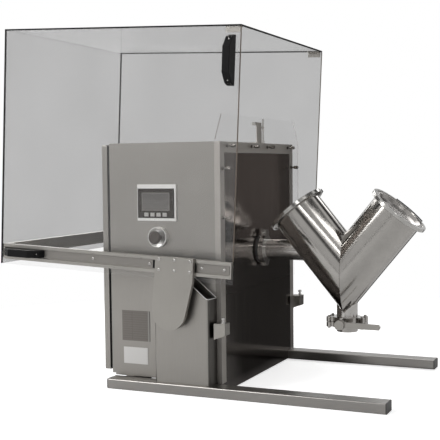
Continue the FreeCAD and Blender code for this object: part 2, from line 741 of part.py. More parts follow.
def hood_screws():
    heads = [dome_screw(V(x, strip_face(), bar_middle()), V(0, -1, 0)) for x in BAR_SCREWS]
    for x in ARM_SCREW_COLUMNS:
        heads += [dome_screw(V(x, -ARM_OUTER, z), V(0, -1, 0)) for z in ARM_SCREW_ROWS]
    return on_hood(Part.makeCompound(heads + [mirrored(head) for head in heads]))


def hood_gussets():
    """Folded angles inside the two corners at the hood's open end."""
    x1 = HOOD_REACH - PANEL - SLIP
    x0 = x1 - GUSSET_LENGTH
    z1 = HOOD_TOP - PANEL
    top = box(x0, x1, -HOOD_INNER, GUSSET_LEG - HOOD_INNER, z1 - GUSSET_SHEET, z1)
    side = box(x0, x1, -HOOD_INNER, GUSSET_SHEET - HOOD_INNER, z1 - GUSSET_LEG, z1)
    gusset = top.fuse(side).removeSplitter()
    return on_hood(pair(gusset))


def tangent_point(radius, x, z):
    """Point where a line from (x, z) touches the eye circle on its outer side."""
    distance = math.hypot(x, z)
    base = math.atan2(z, x)
    spread = math.acos(radius / distance)
    side = -1 if x > 0 else 1
    return radius * math.cos(base + side * spread), radius * math.sin(base + side * spread)


def lever_arm():
    """Plate that hangs the hood from its pivot, with a round eye at the bottom."""
    right_x, right_z = tangent_point(ARM_EYE, ARM_RIGHT, ARM_SHOULDER)
    left_x, left_z = tangent_point(ARM_EYE, ARM_LEFT, ARM_TOP)
    y = -ARM_OUTER
    corners = [V(left_x, y, left_z), V(ARM_LEFT, y, ARM_TOP), V(ARM_RIGHT, y, ARM_TOP),
               V(ARM_RIGHT, y, ARM_SHOULDER), V(right_x, y, right_z)]
    edges = [Part.LineSegment(a, b).toShape() for a, b in zip(corners, corners[1:])]
    edges.append(Part.Arc(corners[-1], V(0, y, -ARM_EYE), corners[0]).toShape())
    plate = Part.Face(Part.Wire(edges)).extrude(V(0, ARM_THICKNESS, 0))
    seat = rod(PIVOT_RADIUS, V(0, -BAR_OUTER - PIVOT_SEAT, 0), V(0, -BAR_OUTER, 0))
    return plate.cut(seat)


def hood_arms():
    return on_hood(pair(lever_arm()))


def pivot_shaft():
    """Cross shaft with a shoulder at each end that spaces the arm from the bush."""
    end = BAR_OUTER + PIVOT_SEAT
    shaft = rod(PIVOT_RADIUS, V(0, -end, 0), V(0, end, 0))
    inner = PILLAR_FRONT + BUSH_FLANGE_THICKNESS + GAP
    shoulder = rod(PIVOT_SHOULDER, V(0, -BAR_OUTER, 0), V(0, -inner, 0))
    return on_hood(shaft.fuse([shoulder, mirrored(shoulder)]).removeSplitter())


def hood_stop_lugs():
    lug = box(LUG_LEFT, LUG_RIGHT, -HOOD_INNER, LUG_DEPTH - HOOD_INNER, LUG_LOW, LUG_HIGH)
    lug = lug.makeFillet(SHEET, edges_along(lug, Y_AXIS))
    return on_hood(pair(lug))


def handle_block():
    """Solid outside of a handle along X on the plane y = 0, standing out towards -Y."""
    half = HANDLE_LENGTH / 2
    side = [(half, 0), (half, -HANDLE_TOE), (half - HANDLE_CHEEK, -HANDLE_CHEEK_HEIGHT),
            (half - HANDLE_SHOULDER, -HANDLE_HEIGHT)]
    points = side + [(-x, y) for x, y in reversed(side)]
    block = outline([V(x, y, -HANDLE_WIDTH / 2) for x, y in points]).extrude(V(0, 0, HANDLE_WIDTH))
    outer = [edge for edge in block.Edges if edge.BoundBox.YMin < -TOUCH]
    return block.makeFillet(HANDLE_ROUND, outer)


def finger_room():
    """Room behind the grip, open on one side of the handle only."""
    inner = HANDLE_LENGTH / 2 - HANDLE_FOOT
    reach = HANDLE_HEIGHT - HANDLE_GRIP
    side = [(inner, 0), (inner, HANDLE_CORNER - reach), (inner - HANDLE_CORNER, -reach)]
    points = side + [(-x, y) for x, y in reversed(side)]
    profile = outline([V(x, y, -HANDLE_WIDTH / 2) for x, y in points])
    return profile.extrude(V(0, 0, HANDLE_WIDTH - HANDLE_SHELL))


def bow_handle():
    """Handle whose finger room is closed by a thin wall on the side that local +Z faces."""
    bow = handle_block().cut(finger_room())
    for side in (-1, 1):
        x = side * (HANDLE_LENGTH / 2 - HANDLE_SCREW_INSET)
        bow = bow.cut(rod(STUD_RADIUS, V(x, -HANDLE_HEIGHT, 0), V(x, -HANDLE_HEIGHT / 2, 0)))
    return bow


def hood_handles():
    upper = bow_handle()
    turn = FreeCAD.Rotation(Y_AXIS, 90)
    place = V(HOOD_REACH - UPPER_HANDLE_INSET, -HOOD_OUTER, HOOD_TOP - UPPER_HANDLE_DROP)
    upper.Placement = FreeCAD.Placement(place, turn)
    lower = bow_handle()
    lower.translate(V(HOOD_TAIL + LOWER_HANDLE_INSET, strip_face(), bar_middle()))
    return on_hood(Part.makeCompound([upper, lower]))


# Clear shield and safety sensor

def shield_plate():
    half = SHIELD_HALF
    low_half = CABINET_HALF
    top_half = half - SHIELD_CHAMFER_WIDTH
    chamfer_z = SHIELD_TOP - SHIELD_CHAMFER_HEIGHT
    right = [(low_half, SHIELD_BOTTOM), (low_half, SHIELD_NOTCH), (half, SHIELD_NOTCH), (half, chamfer_z),
             (top_half, SHIELD_TOP)]
    points = right + [(-y, z) for y, z in reversed(right)]
    plate = prism_x(points, SHIELD_BACK, SHIELD_OUTER)
    return plate.cut(shaft_hole(SHIELD_BACK, SHIELD_OUTER, SHIELD_BORE))


def shield_knob_places():
    places = [(y, TOP_KNOB_Z) for y in TOP_KNOBS]
    return places + [(side * SIDE_KNOB_Y, z) for side in (-1, 1) for z in SIDE_KNOBS_Z]


def shield_knobs():
    """Spacer behind the shield and knurled knob in front of it, at each fixing."""
    pieces = []
    for y, z in shield_knob_places():
        spacer = rod(KNOB_RADIUS, V(WALL_FACE, y, z), V(SHIELD_BACK, y, z))
        knob = rod(KNOB_RADIUS, V(SHIELD_OUTER, y, z), V(SHIELD_OUTER + KNOB_LENGTH, y, z))
        rims = [edge for edge in knob.Edges if edge.BoundBox.XLength < TOUCH]
        knob = knob.makeChamfer(KNOB_RADIUS / 5, rims)
        pieces += [spacer, knob]
    return Part.makeCompound(pieces)


def sensor_bracket():
    """Angle on the cabinet's top with a clip that holds the sensor rod."""
    x1 = CROSS_FACE
    y0 = SENSOR_PLATE_FRONT
    y1 = SENSOR_PLATE_REAR
    top = CABINET_TOP + SENSOR_HEIGHT
    foot = box(x1 - SENSOR_FOOT, x1, y0, y1, CABINET_TOP, CABINET_TOP + SENSOR_PLATE)
    upright = box(x1 - SENSOR_PLATE, x1, y0, y1, CABINET_TOP, top)
    clip_z = top - 6 * SENSOR_PLATE
    rod_x = x1 - SENSOR_PLATE / 2
    arm = box(x1 - SENSOR_PLATE, x1, y1, SENSOR_ROD_Y, clip_z - 2 * SENSOR_PLATE, clip_z)
    eye = rod(SENSOR_EYE, V(rod_x, SENSOR_ROD_Y, clip_z - 2 * SENSOR_PLATE), V(rod_x, SENSOR_ROD_Y, clip_z))
    hole = rod(SENSOR_ROD, V(rod_x, SENSOR_ROD_Y, CABINET_TOP), V(rod_x, SENSOR_ROD_Y, SENSOR_ROD_TOP))
    return foot.fuse([upright, arm, eye]).cut(hole).removeSplitter()


def sensor_switch():
    """Small switch body across the bracket's top edge."""
    y0, y1, height = SENSOR_SWITCH
    x1 = CROSS_FACE - SENSOR_PLATE
    top = CABINET_TOP + SENSOR_HEIGHT
    return box(x1 - height, x1, y0, y1, top - height, top)


def safety_sensor():
    """Slim rod sensor that stands on a socket beside its bracket."""
    x = CROSS_FACE - SENSOR_PLATE / 2
    socket_top = CABINET_TOP + 4 * SENSOR_PLATE
    socket = rod(SENSOR_SOCKET, V(x, SENSOR_ROD_Y, CABINET_TOP), V(x, SENSOR_ROD_Y, socket_top))
    body = rod(SENSOR_ROD, V(x, SENSOR_ROD_Y, socket_top), V(x, SENSOR_ROD_Y, SENSOR_ROD_TOP))
    return Part.makeCompound([socket.fuse(body).removeSplitter(), sensor_switch()])


# Operator panel

def hmi_surround():
    x0, x1, z0, z1 = SURROUND
    y0 = -CABINET_HALF - SURROUND_DEPTH
    frame = box(x0, x1, y0, -CABINET_HALF, z0, z1)
    bx0, bx1, bz0, bz1 = BEZEL
    return frame.cut(box(bx0, bx1, y0, -CABINET_HALF, bz0, bz1))


def key_places():
    return [(KEY_FIRST_X + i * KEY_PITCH, KEY_Z) for i in range(4)]


def hmi_housing():
    x0, x1, z0, z1 = BEZEL
    y_front = -CABINET_HALF - BEZEL_DEPTH
    front = box(x0, x1, y_front, -CABINET_HALF, z0, z1)
    rim = [edge for edge in front.Edges if edge.BoundBox.YMax - y_front < TOUCH]
    front = front.makeChamfer(SHEET, rim)
    inset = HMI_BACK_INSET + GAP
    back = box(x0 + inset, x1 - inset, -CABINET_HALF, HMI_BACK_DEPTH - CABINET_HALF, z0 + inset, z1 - inset)
    housing = front.fuse(back)
    sx0, sx1, sz0, sz1 = SCREEN
    housing = housing.cut(box(sx0, sx1, y_front, y_front + SCREEN_RECESS + SCREEN_THICKNESS, sz0, sz1))
    for x, z in key_places():
        half_w = KEY_WIDTH / 2 + GAP
        half_h = KEY_HEIGHT / 2 + GAP
        depth = KEY_BODY + KEY_TRAVEL + GAP - KEY_PROUD
        housing = housing.cut(box(x - half_w, x + half_w, y_front, y_front + depth, z - half_h, z + half_h))
    return housing.removeSplitter()


def hmi_screen():
    x0, x1, z0, z1 = SCREEN
    y0 = -CABINET_HALF - BEZEL_DEPTH + SCREEN_RECESS
    return box(x0, x1, y0, y0 + SCREEN_THICKNESS, z0, z1)


def hmi_key(x, z):
    y0 = -CABINET_HALF - BEZEL_DEPTH - KEY_PROUD
    key = box(x - KEY_WIDTH / 2, x + KEY_WIDTH / 2, y0, y0 + KEY_BODY,
              z - KEY_HEIGHT / 2, z + KEY_HEIGHT / 2)
    face = [edge for edge in key.Edges if edge.BoundBox.YMax - y0 < TOUCH]
    return key.makeFillet(SLIP, face)


def estop_collar():
    """Guard ring round the emergency stop, straight outside and flared inside."""
    bore = ESTOP_NECK + GAP
    points = [(bore, 0), (ESTOP_COLLAR, 0), (ESTOP_COLLAR, ESTOP_COLLAR_DEPTH),
              (ESTOP_COLLAR - SHEET, ESTOP_COLLAR_DEPTH), (ESTOP_HEAD + SHEET, SHEET), (bore, SHEET)]
    return turned(points, V(ESTOP_X, -CABINET_HALF, ESTOP_Z), V(0, -1, 0))


def estop_button():
    """Mushroom button with its neck, which passes through the front sheet."""
    low = ESTOP_REACH - ESTOP_HEAD_THICKNESS
    crown = ESTOP_REACH - ESTOP_HEAD_THICKNESS / 3
    points = [(0, -SHEET - ESTOP_TRAVEL), (ESTOP_NECK, -SHEET - ESTOP_TRAVEL), (ESTOP_NECK, low),
              (ESTOP_HEAD, low),
              (ESTOP_HEAD, crown), (ESTOP_HEAD * 0.8, ESTOP_REACH), (0, ESTOP_REACH)]
    return turned(points, V(ESTOP_X, -CABINET_HALF, ESTOP_Z), V(0, -1, 0))


# Drive

def flange_bearing():
    """Bearing housing on the inside of the drive wall."""
    x_flange = SKIN_BACK - HOUSING_FLANGE_THICKNESS
    hub = shaft_hole(HOUSING_BACK, x_flange, HOUSING_RADIUS)
    flange = shaft_hole(x_flange, SKIN_BACK, HOUSING_FLANGE)
    bore = shaft_hole(HOUSING_BACK, SKIN_BACK, JOURNAL_RADIUS + RUNNING_FIT)
    return hub.fuse(flange).cut(bore).removeSplitter()


def shaft_seal():
    ring = shaft_hole(WALL_FACE, WALL_FACE + SEAL_THICKNESS, SEAL_RADIUS)
    return ring.cut(shaft_hole(WALL_FACE, WALL_FACE + SEAL_THICKNESS, NECK_RADIUS + GAP))


def gearbox():
    """Right-angle gearbox on the bearing housing, with a motor flange at its rear side."""
    case = box(GEARBOX_BACK, HOUSING_BACK, -GEARBOX_HALF, GEARBOX_HALF,
               SHAFT_Z - GEARBOX_BELOW, SHAFT_Z + GEARBOX_ABOVE)
    case = case.makeFillet(GEARBOX_COVER, case.Edges)
    x = GEARBOX_BACK + GEARBOX_LENGTH / 2
    flange = rod(MOTOR_FLANGE, V(x, GEARBOX_HALF, SHAFT_Z),
                 V(x, GEARBOX_HALF + MOTOR_FLANGE_THICKNESS, SHAFT_Z))
    boss = shaft_hole(HOUSING_BACK - 2 * GEARBOX_COVER, HOUSING_BACK, HOUSING_RADIUS)
    bore = shaft_hole(GEARBOX_BACK + GEARBOX_COVER, HOUSING_BACK, DRIVE_RADIUS + RUNNING_FIT)
    return case.fuse([flange, boss]).cut(bore).removeSplitter()


def drive_motor():
    """Finned motor body with a fan cover at its end."""
    x = GEARBOX_BACK + GEARBOX_LENGTH / 2
    y0 = GEARBOX_HALF + MOTOR_FLANGE_THICKNESS
    y1 = y0 + MOTOR_LENGTH
    body = rod(MOTOR_RADIUS, V(x, y0, SHAFT_Z), V(x, y1, SHAFT_Z))
    fins = []
    for i in range(MOTOR_FINS):
        fin = box(0, MOTOR_RADIUS + MOTOR_FIN, y0 + MOTOR_FIN, y1, -SLIP, SLIP)
        fin.rotate(ORIGIN, Y_AXIS, i * 360 / MOTOR_FINS)
        fin.translate(V(x, 0, SHAFT_Z))
        fins.append(fin)
    cover = rod(MOTOR_RADIUS + MOTOR_FIN + SHEET, V(x, y1, SHAFT_Z), V(x, y1 + FAN_COVER_LENGTH, SHAFT_Z))
    cover = cover.makeFillet(GEARBOX_COVER, [edge for edge in cover.Edges if edge.BoundBox.YMin > y1 + SLIP])
    return body.fuse(fins + [cover]).removeSplitter()


def ferrule_profile(face, away):
    """Clamp lip: a flat face and a tapered back; away is +1 or -1 along the shaft."""
    edge = face + away * FERRULE_EDGE
    root = edge + away * FERRULE_TAPER
    return [(NECK_RADIUS, face), (FERRULE_RADIUS, face), (FERRULE_RADIUS, edge), (NECK_RADIUS, root)]


def drive_shaft():
    start = GEARBOX_BACK + GEARBOX_COVER + GAP
    journal = HOUSING_BACK
    neck = SKIN_BACK + SLIP
    points = [(0, start), (DRIVE_RADIUS, start), (DRIVE_RADIUS, journal), (JOURNAL_RADIUS, journal),
              (JOURNAL_RADIUS, neck), (NECK_RADIUS, neck), (NECK_RADIUS, FERRULE_X), (0, FERRULE_X)]
    shaft = turned(points, V(0, 0, SHAFT_Z), X_AXIS)
    lip = turned(ferrule_profile(FERRULE_X, -1), V(0, 0, SHAFT_Z), X_AXIS)
    return shaft.fuse(lip).removeSplitter()


def vessel_clamp():
    """Two hinged clamp halves round the ferrules, with a wing nut on top."""
    half = CLAMP_WIDTH / 2
    lip = FERRULE_EDGE
    root = FERRULE_EDGE + FERRULE_TAPER
    low = NECK_RADIUS + SLIP
    section = [(low, -half), (CLAMP_RADIUS, -half), (CLAMP_RADIUS, half), (low, half), (low, root),
               (FERRULE_RADIUS + GAP, lip), (FERRULE_RADIUS + GAP, -lip), (low, -root)]
    ring = turned(section, V(FERRULE_X, 0, SHAFT_Z), X_AXIS)
    x0 = FERRULE_X - half
    x1 = FERRULE_X + half
    ear_top = SHAFT_Z + CLAMP_RADIUS + CLAMP_EAR
    ear = CLAMP_EAR * 0.75
    ears = box(x0, x1, -ear, ear, SHAFT_Z + FERRULE_RADIUS + SHEET, ear_top)
    hinge_z = SHAFT_Z - CLAMP_RADIUS - CLAMP_EAR / 3
    knuckle = box(x0, x1, -ear, ear, hinge_z, SHAFT_Z - FERRULE_RADIUS - SHEET)
    split = box(x0, x1, -CLAMP_SPLIT / 2, CLAMP_SPLIT / 2, hinge_z - ear, ear_top + ear)
    halves = ring.fuse([ears, knuckle]).cut(split)
    bolt_z = ear_top - CLAMP_EAR / 2
    bolt = rod(SHEET + SLIP, V(FERRULE_X, -1.9 * ear, bolt_z), V(FERRULE_X, 1.3 * ear, bolt_z))
    pin = rod(SHEET + SLIP, V(x0, 0, hinge_z), V(x1, 0, hinge_z))
    return halves.fuse([bolt, pin, wing_nut(V(FERRULE_X, -ear, bolt_z))]).removeSplitter()


def wing_nut(seat):
    """Wing nut whose back rests at the seat, pointing towards -Y."""
    hub = rod(2.4 * SHEET, seat, seat - V(0, 3 * SHEET, 0))
    span = WING_SPAN / 2
    wing = [(-span, -SHEET), (-span, 3 * SHEET), (-2 * SHEET, SHEET), (2 * SHEET, SHEET), (span, 3 * SHEET),
            (span, -SHEET), (0, -2 * SHEET)]
    blade = prism_y([(seat.x + x, seat.z + z) for x, z in wing], seat.y - 2.5 * SHEET, seat.y - 1.5 * SHEET)
    blade.rotate(seat, Y_AXIS, WING_TURN)
    return hub.fuse(blade)


# Vessel

def leg_placement(side):
    """Frame at the middle of a leg's rim; side is +1 for the leg away from the drive."""
    angle = math.radians(LEG_ANGLE)
    rim = V(VESSEL_X + side * LEG_LENGTH * math.sin(angle), 0, LEG_CROSS_Z + LEG_LENGTH * math.cos(angle))
    return FreeCAD.Placement(rim, FreeCAD.Rotation(Y_AXIS, side * LEG_ANGLE))


def on_leg(shape, side):
    placed = shape.copy()
    placed.Placement = leg_placement(side).multiply(placed.Placement)
    return placed


def leg_solid(radius, side, above):
    """One leg as a full cylinder, mitred on the vessel's middle plane."""
    reach = LEG_LENGTH + 3 * LEG_RADIUS
    leg = on_leg(rod(radius, V(0, 0, above), V(0, 0, -reach)), side)
    x_far = VESSEL_X + side * reach
    half_space = box(min(VESSEL_X, x_far), max(VESSEL_X, x_far), -reach, reach, -reach, 2 * reach)
    return leg.common(half_space)


def vessel_throat(radius):
    """Full cylinder down the outlet, from the middle of the legs' joint."""
    return rod(radius, V(VESSEL_X, 0, OUTLET_END), V(VESSEL_X, 0, LEG_CROSS_Z))


def vessel_legs():
    """Two tubes, mitred and welded to a V, with the outlet cut out at the bottom."""
    throat = vessel_throat(OUTLET_RADIUS - VESSEL_WALL)
    inner = LEG_RADIUS - VESSEL_WALL
    legs = [leg_solid(LEG_RADIUS, side, 0).cut(leg_solid(inner, side, SLIP)) for side in (-1, 1)]
    return Part.makeCompound([leg.cut(throat) for leg in legs])


def vessel_fittings():
    """What is welded to the legs: a rim on each, the outlet neck and the drive stub with its lip."""
    outer = leg_solid(LEG_RADIUS, -1, 0).fuse(leg_solid(LEG_RADIUS, 1, 0))
    neck = vessel_throat(OUTLET_RADIUS).cut(vessel_throat(OUTLET_RADIUS - VESSEL_WALL)).cut(outer)
    stub = pipe(NECK_RADIUS, NECK_RADIUS - NECK_WALL, V(FERRULE_X, 0, SHAFT_Z), V(VESSEL_X, 0, SHAFT_Z))
    stub = max(stub.cut(outer).Solids, key=lambda solid: solid.Volume)
    stub = stub.fuse(turned(ferrule_profile(FERRULE_X, 1), V(0, 0, SHAFT_Z), X_AXIS)).removeSplitter()
    rims = [on_leg(rim_ring(), side) for side in (-1, 1)]
    return Part.makeCompound([neck, stub] + rims)


def rim_ring():
    """Rolled rim round the mouth of a leg."""
    low = -RIM_THICKNESS
    points = [(LEG_RADIUS, 0), (RIM_RADIUS, 0), (RIM_RADIUS, low / 2), (LEG_RADIUS + VESSEL_WALL, low),
              (LEG_RADIUS, low)]
    return turned(points, ORIGIN, Z_AXIS)


def lid_seals():
    inner = LEG_RADIUS - VESSEL_WALL
    seal = pipe(RIM_RADIUS - SHEET, inner, ORIGIN, V(0, 0, LID_SEAL))
    return Part.makeCompound([on_leg(seal, side) for side in (-1, 1)])


def lid(side):
    """Dished lid: a flat rim that sits on the seal and a pressed-in bowl."""
    low = LID_SEAL + GAP
    top = low + LID_THICKNESS
    wall = VESSEL_WALL
    radius = LID_DISH_RADIUS
    bowl = low - LID_DISH
    knee = radius * 0.82
    section = [(0, bowl - wall), (knee, bowl - wall * 0.4), (radius, low), (RIM_RADIUS, low),
               (RIM_RADIUS, top), (radius + wall, top), (knee + wall, bowl + wall), (0, bowl)]
    plate = turned(section, ORIGIN, Z_AXIS)
    knees = [edge for edge in plate.Edges if is_circle(edge, knee) or is_circle(edge, knee + wall)]
    return on_leg(plate.makeChamfer(LID_BEND, knees), side)


def is_circle(edge, radius):
    return isinstance(edge.Curve, Part.Circle) and abs(edge.Curve.Radius - radius) < TOUCH


def ring_radius():
    return RIM_RADIUS + GAP + RING_THICKNESS


def lever_circle():
    """Radius of the line that the lever and its pin follow."""
    return ring_radius() + LEVER_GAP + LEVER_THICKNESS / 2


def rim_direction(angle):
    """Unit vector in the rim's plane, measured from the rear towards +X."""
    return V(math.sin(math.radians(angle)), math.cos(math.radians(angle)), 0)


def lever_pin_place(middle_angle):
    return rim_direction(middle_angle - LEVER_ARC / 2) * lever_circle()


def clamp_ring(side, middle_angle):
    """Clamp ring with a lip over the lid, a split, and the lug and pin of its lever."""
    low = -RIM_THICKNESS / 2
    top = LID_SEAL + GAP + LID_THICKNESS + RING_THICKNESS / 2
    outer = ring_radius()
    inner = RIM_RADIUS + GAP
    section = [(inner, low), (outer - SLIP, low), (outer, low + SLIP), (outer, top - SLIP),
               (outer - SLIP, top), (inner - RING_LIP, top),
               (inner - RING_LIP, top - RING_THICKNESS / 2), (inner, top - RING_THICKNESS / 2)]
    ring = turned(section, ORIGIN, Z_AXIS)
    split_angle = middle_angle + LEVER_ARC / 2 + RING_SPLIT
    width = outer * math.radians(RING_SPLIT) / 2
    split = box(-width / 2, width / 2, inner - 2 * RING_LIP, outer + RING_LIP, low - SLIP, top + SLIP)
    split.rotate(ORIGIN, Z_AXIS, -split_angle)
    pin_place = lever_pin_place(middle_angle)
    root = rim_direction(middle_angle - LEVER_ARC / 2) * (outer - RING_THICKNESS / 2)
    lug = rod(LEVER_EYE, pin_place + V(0, 0, low), pin_place)
    link = box(-LEVER_EYE, LEVER_EYE, root.Length, pin_place.Length, low, 0)
    link.rotate(ORIGIN, Z_AXIS, LEVER_ARC / 2 - middle_angle)
    pin = rod(LEVER_PIN, pin_place, pin_place + V(0, 0, LEVER_HEIGHT + GAP))
    return on_leg(ring.cut(split).fuse([lug, link, pin]).removeSplitter(), side)


def ring_lever(side, middle_angle):
    """Curved toggle lever that hugs the ring when it is shut."""
    circle = lever_circle()
    low = GAP
    top = low + LEVER_HEIGHT
    inner = circle - LEVER_THICKNESS / 2
    outer = circle + LEVER_THICKNESS / 2
    band = pipe(outer, inner, V(0, 0, low), V(0, 0, top))
    start = middle_angle - LEVER_ARC / 2
    corners = [V(0, 0, low), rim_direction(start) * (2 * outer) + V(0, 0, low),
               rim_direction(middle_angle) * (2 * outer) + V(0, 0, low),
               rim_direction(start + LEVER_ARC) * (2 * outer) + V(0, 0, low)]
    wedge = outline(corners).extrude(V(0, 0, LEVER_HEIGHT))
    pin_place = lever_pin_place(middle_angle)
    eye = rod(LEVER_EYE, pin_place + V(0, 0, low), pin_place + V(0, 0, top))
    hole = rod(LEVER_PIN + RUNNING_FIT, pin_place, pin_place + V(0, 0, 2 * top))
    return on_leg(band.common(wedge).fuse(eye).cut(hole).removeSplitter(), side)


# Butterfly valve

def valve_lug_places():
    angles = (VALVE_LUG_ANGLE, 180 - VALVE_LUG_ANGLE, 180 + VALVE_LUG_ANGLE, 360 - VALVE_LUG_ANGLE)
    reach = VALVE_LUG_CIRCLE
    return [(VESSEL_X + reach * math.cos(math.radians(a)), reach * math.sin(math.radians(a)))
            for a in angles]


def valve_body():
    """Two bolted body halves with a stem boss at the front and a plain spigot below."""
    z0 = OUTLET_END - VALVE_HEIGHT
    z1 = OUTLET_END
    bottom = z0 - SPIGOT_LENGTH
    axis = (V(VESSEL_X, 0, z0), V(VESSEL_X, 0, z1))
    body = rod(VALVE_RADIUS, *axis)
    bolts = []
    for x, y in valve_lug_places():
        lug = rod(VALVE_LUG_RADIUS, V(x, y, z0), V(x, y, z1))
        web = rod(VALVE_LUG_RADIUS, V(VESSEL_X + (x - VESSEL_X) * 0.8, y * 0.8, z0),
                  V(VESSEL_X + (x - VESSEL_X) * 0.8, y * 0.8, z1))
        body = body.fuse([lug, web])
        bolts.append(rod(VALVE_LUG_RADIUS / 2, V(x, y, z0 - NUT_HEIGHT), V(x, y, z1 + NUT_HEIGHT)))
    groove_z = VALVE_Z - VALVE_GROOVE / 2
    reach = VALVE_LUG_CIRCLE + 2 * VALVE_LUG_RADIUS
    groove = pipe(reach, VALVE_RADIUS - SHEET, V(VESSEL_X, 0, groove_z),
                  V(VESSEL_X, 0, groove_z + VALVE_GROOVE))
    spigot = rod(OUTLET_RADIUS, V(VESSEL_X, 0, bottom), V(VESSEL_X, 0, z0))
    boss_end = -VALVE_RADIUS - VALVE_BOSS_LENGTH
    boss = rod(VALVE_BOSS_RADIUS, V(VESSEL_X, boss_end, VALVE_Z), V(VESSEL_X, 0, VALVE_Z))
    body = body.cut(groove).fuse(bolts + [spigot, boss])
    bore = rod(VALVE_BORE, V(VESSEL_X, 0, z0), V(VESSEL_X, 0, z1))
    outlet = rod(OUTLET_RADIUS - VESSEL_WALL, V(VESSEL_X, 0, bottom), V(VESSEL_X, 0, z0))
    stem = rod(STEM_RADIUS + RUNNING_FIT, V(VESSEL_X, boss_end, VALVE_Z),
               V(VESSEL_X, VALVE_RADIUS - SHEET, VALVE_Z))
    return body.cut(bore).cut(outlet).cut(stem).removeSplitter()


def hub_front():
    return -VALVE_RADIUS - VALVE_BOSS_LENGTH - HUB_LENGTH


def valve_disc():
    reach = VALVE_BORE - RUNNING_FIT
    radius = math.sqrt(reach ** 2 - (DISC_THICKNESS / 2) ** 2)
    disc = rod(radius, V(VESSEL_X, 0, VALVE_Z - DISC_THICKNESS / 2),
               V(VESSEL_X, 0, VALVE_Z + DISC_THICKNESS / 2))
    stem = rod(STEM_RADIUS, V(VESSEL_X, hub_front() + SHEET, VALVE_Z),
               V(VESSEL_X, VALVE_RADIUS - 2 * SHEET, VALVE_Z))
    return disc.fuse(stem).removeSplitter()


def valve_lever():
    """Round hub on the stem with a flat handle, at right angles to the outlet when shut."""
    y0 = hub_front()
    y1 = y0 + HUB_LENGTH - GAP
    hub = rod(HUB_RADIUS, V(VESSEL_X, y0, VALVE_Z), V(VESSEL_X, y1, VALVE_Z))
    hub = hub.makeFillet(SLIP, [edge for edge in hub.Edges if edge.BoundBox.YMax - y0 < TOUCH])
    half = VALVE_LEVER_HEIGHT / 2
    y_mid = y0 + HUB_LENGTH / 2
    flat = prism_y([(VESSEL_X, VALVE_Z - half), (VESSEL_X + VALVE_LEVER_LENGTH, VALVE_Z - half),
                    (VESSEL_X + VALVE_LEVER_LENGTH, VALVE_Z + half * 0.8), (VESSEL_X, VALVE_Z + half)],
                   y_mid - VALVE_LEVER_THICKNESS / 2, y_mid + VALVE_LEVER_THICKNESS / 2)
    grip = rod(HUB_RADIUS / 4, V(VESSEL_X + VALVE_LEVER_LENGTH, y_mid, VALVE_Z),
               V(VESSEL_X + VALVE_LEVER_LENGTH + SHEET + SLIP, y_mid, VALVE_Z))
    bore = rod(STEM_RADIUS, V(VESSEL_X, y0 + SHEET, VALVE_Z), V(VESSEL_X, y1, VALVE_Z))
    return hub.fuse([flat, grip]).cut(bore).removeSplitter()


# Inside the cabinet

def control_gear():
    """Mounting plate on the rear wall with a finned drive controller and a row of terminals."""
    x0, x1, z0, z1 = GEAR_PLATE
    y0 = CABINET_HALF - 2 * SHEET
    plate = box(x0, x1, y0, y0 + SHEET, z0, z1)
    middle = (x0 + x1) / 2
    left = middle - CONTROLLER_WIDTH / 2
    bottom = z1 - GEAR_MARGIN - CONTROLLER_HEIGHT
    front = y0 - CONTROLLER_DEPTH
    pieces = [box(left, left + CONTROLLER_WIDTH, front + 3 * CONTROLLER_FIN, y0, bottom, z1 - GEAR_MARGIN)]
    for i in range(CONTROLLER_FINS):
        x = left + (i + 0.5) * CONTROLLER_WIDTH / CONTROLLER_FINS - CONTROLLER_FIN / 2
        pieces.append(box(x, x + CONTROLLER_FIN, front, y0, bottom, z1 - GEAR_MARGIN))
    rail_z = z0 + 2 * GEAR_MARGIN
    pieces.append(box(x0 + GEAR_MARGIN, x1 - GEAR_MARGIN, y0 - RAIL_DEPTH, y0, rail_z, rail_z + RAIL_HEIGHT))
    low = rail_z + (RAIL_HEIGHT - TERMINAL_HEIGHT) / 2
    for i in range(TERMINALS):
        x = x0 + GEAR_MARGIN + i * TERMINAL_PITCH
        back = y0 - RAIL_DEPTH
        pieces.append(box(x, x + TERMINAL_PITCH - SHEET, back - TERMINAL_DEPTH, back,
                          low, low + TERMINAL_HEIGHT))
    return plate.fuse(pieces).removeSplitter()


def cable_gland():
    y0 = CABINET_HALF - 2 * SHEET
    y1 = CABINET_HALF
    thread = rod(GLAND_RADIUS * 0.7, V(GLAND_X, y0, GLAND_Z), V(GLAND_X, y1, GLAND_Z))
    body = rod(GLAND_RADIUS, V(GLAND_X, y1, GLAND_Z), V(GLAND_X, y1 + GLAND_LENGTH, GLAND_Z))
    body = body.makeChamfer(SHEET, [edge for edge in body.Edges if edge.BoundBox.YMin > y1 + SLIP])
    return thread.fuse(body).cut(rod(GLAND_RADIUS / 3, V(GLAND_X, y0, GLAND_Z),
                                     V(GLAND_X, y1 + GLAND_LENGTH, GLAND_Z)))


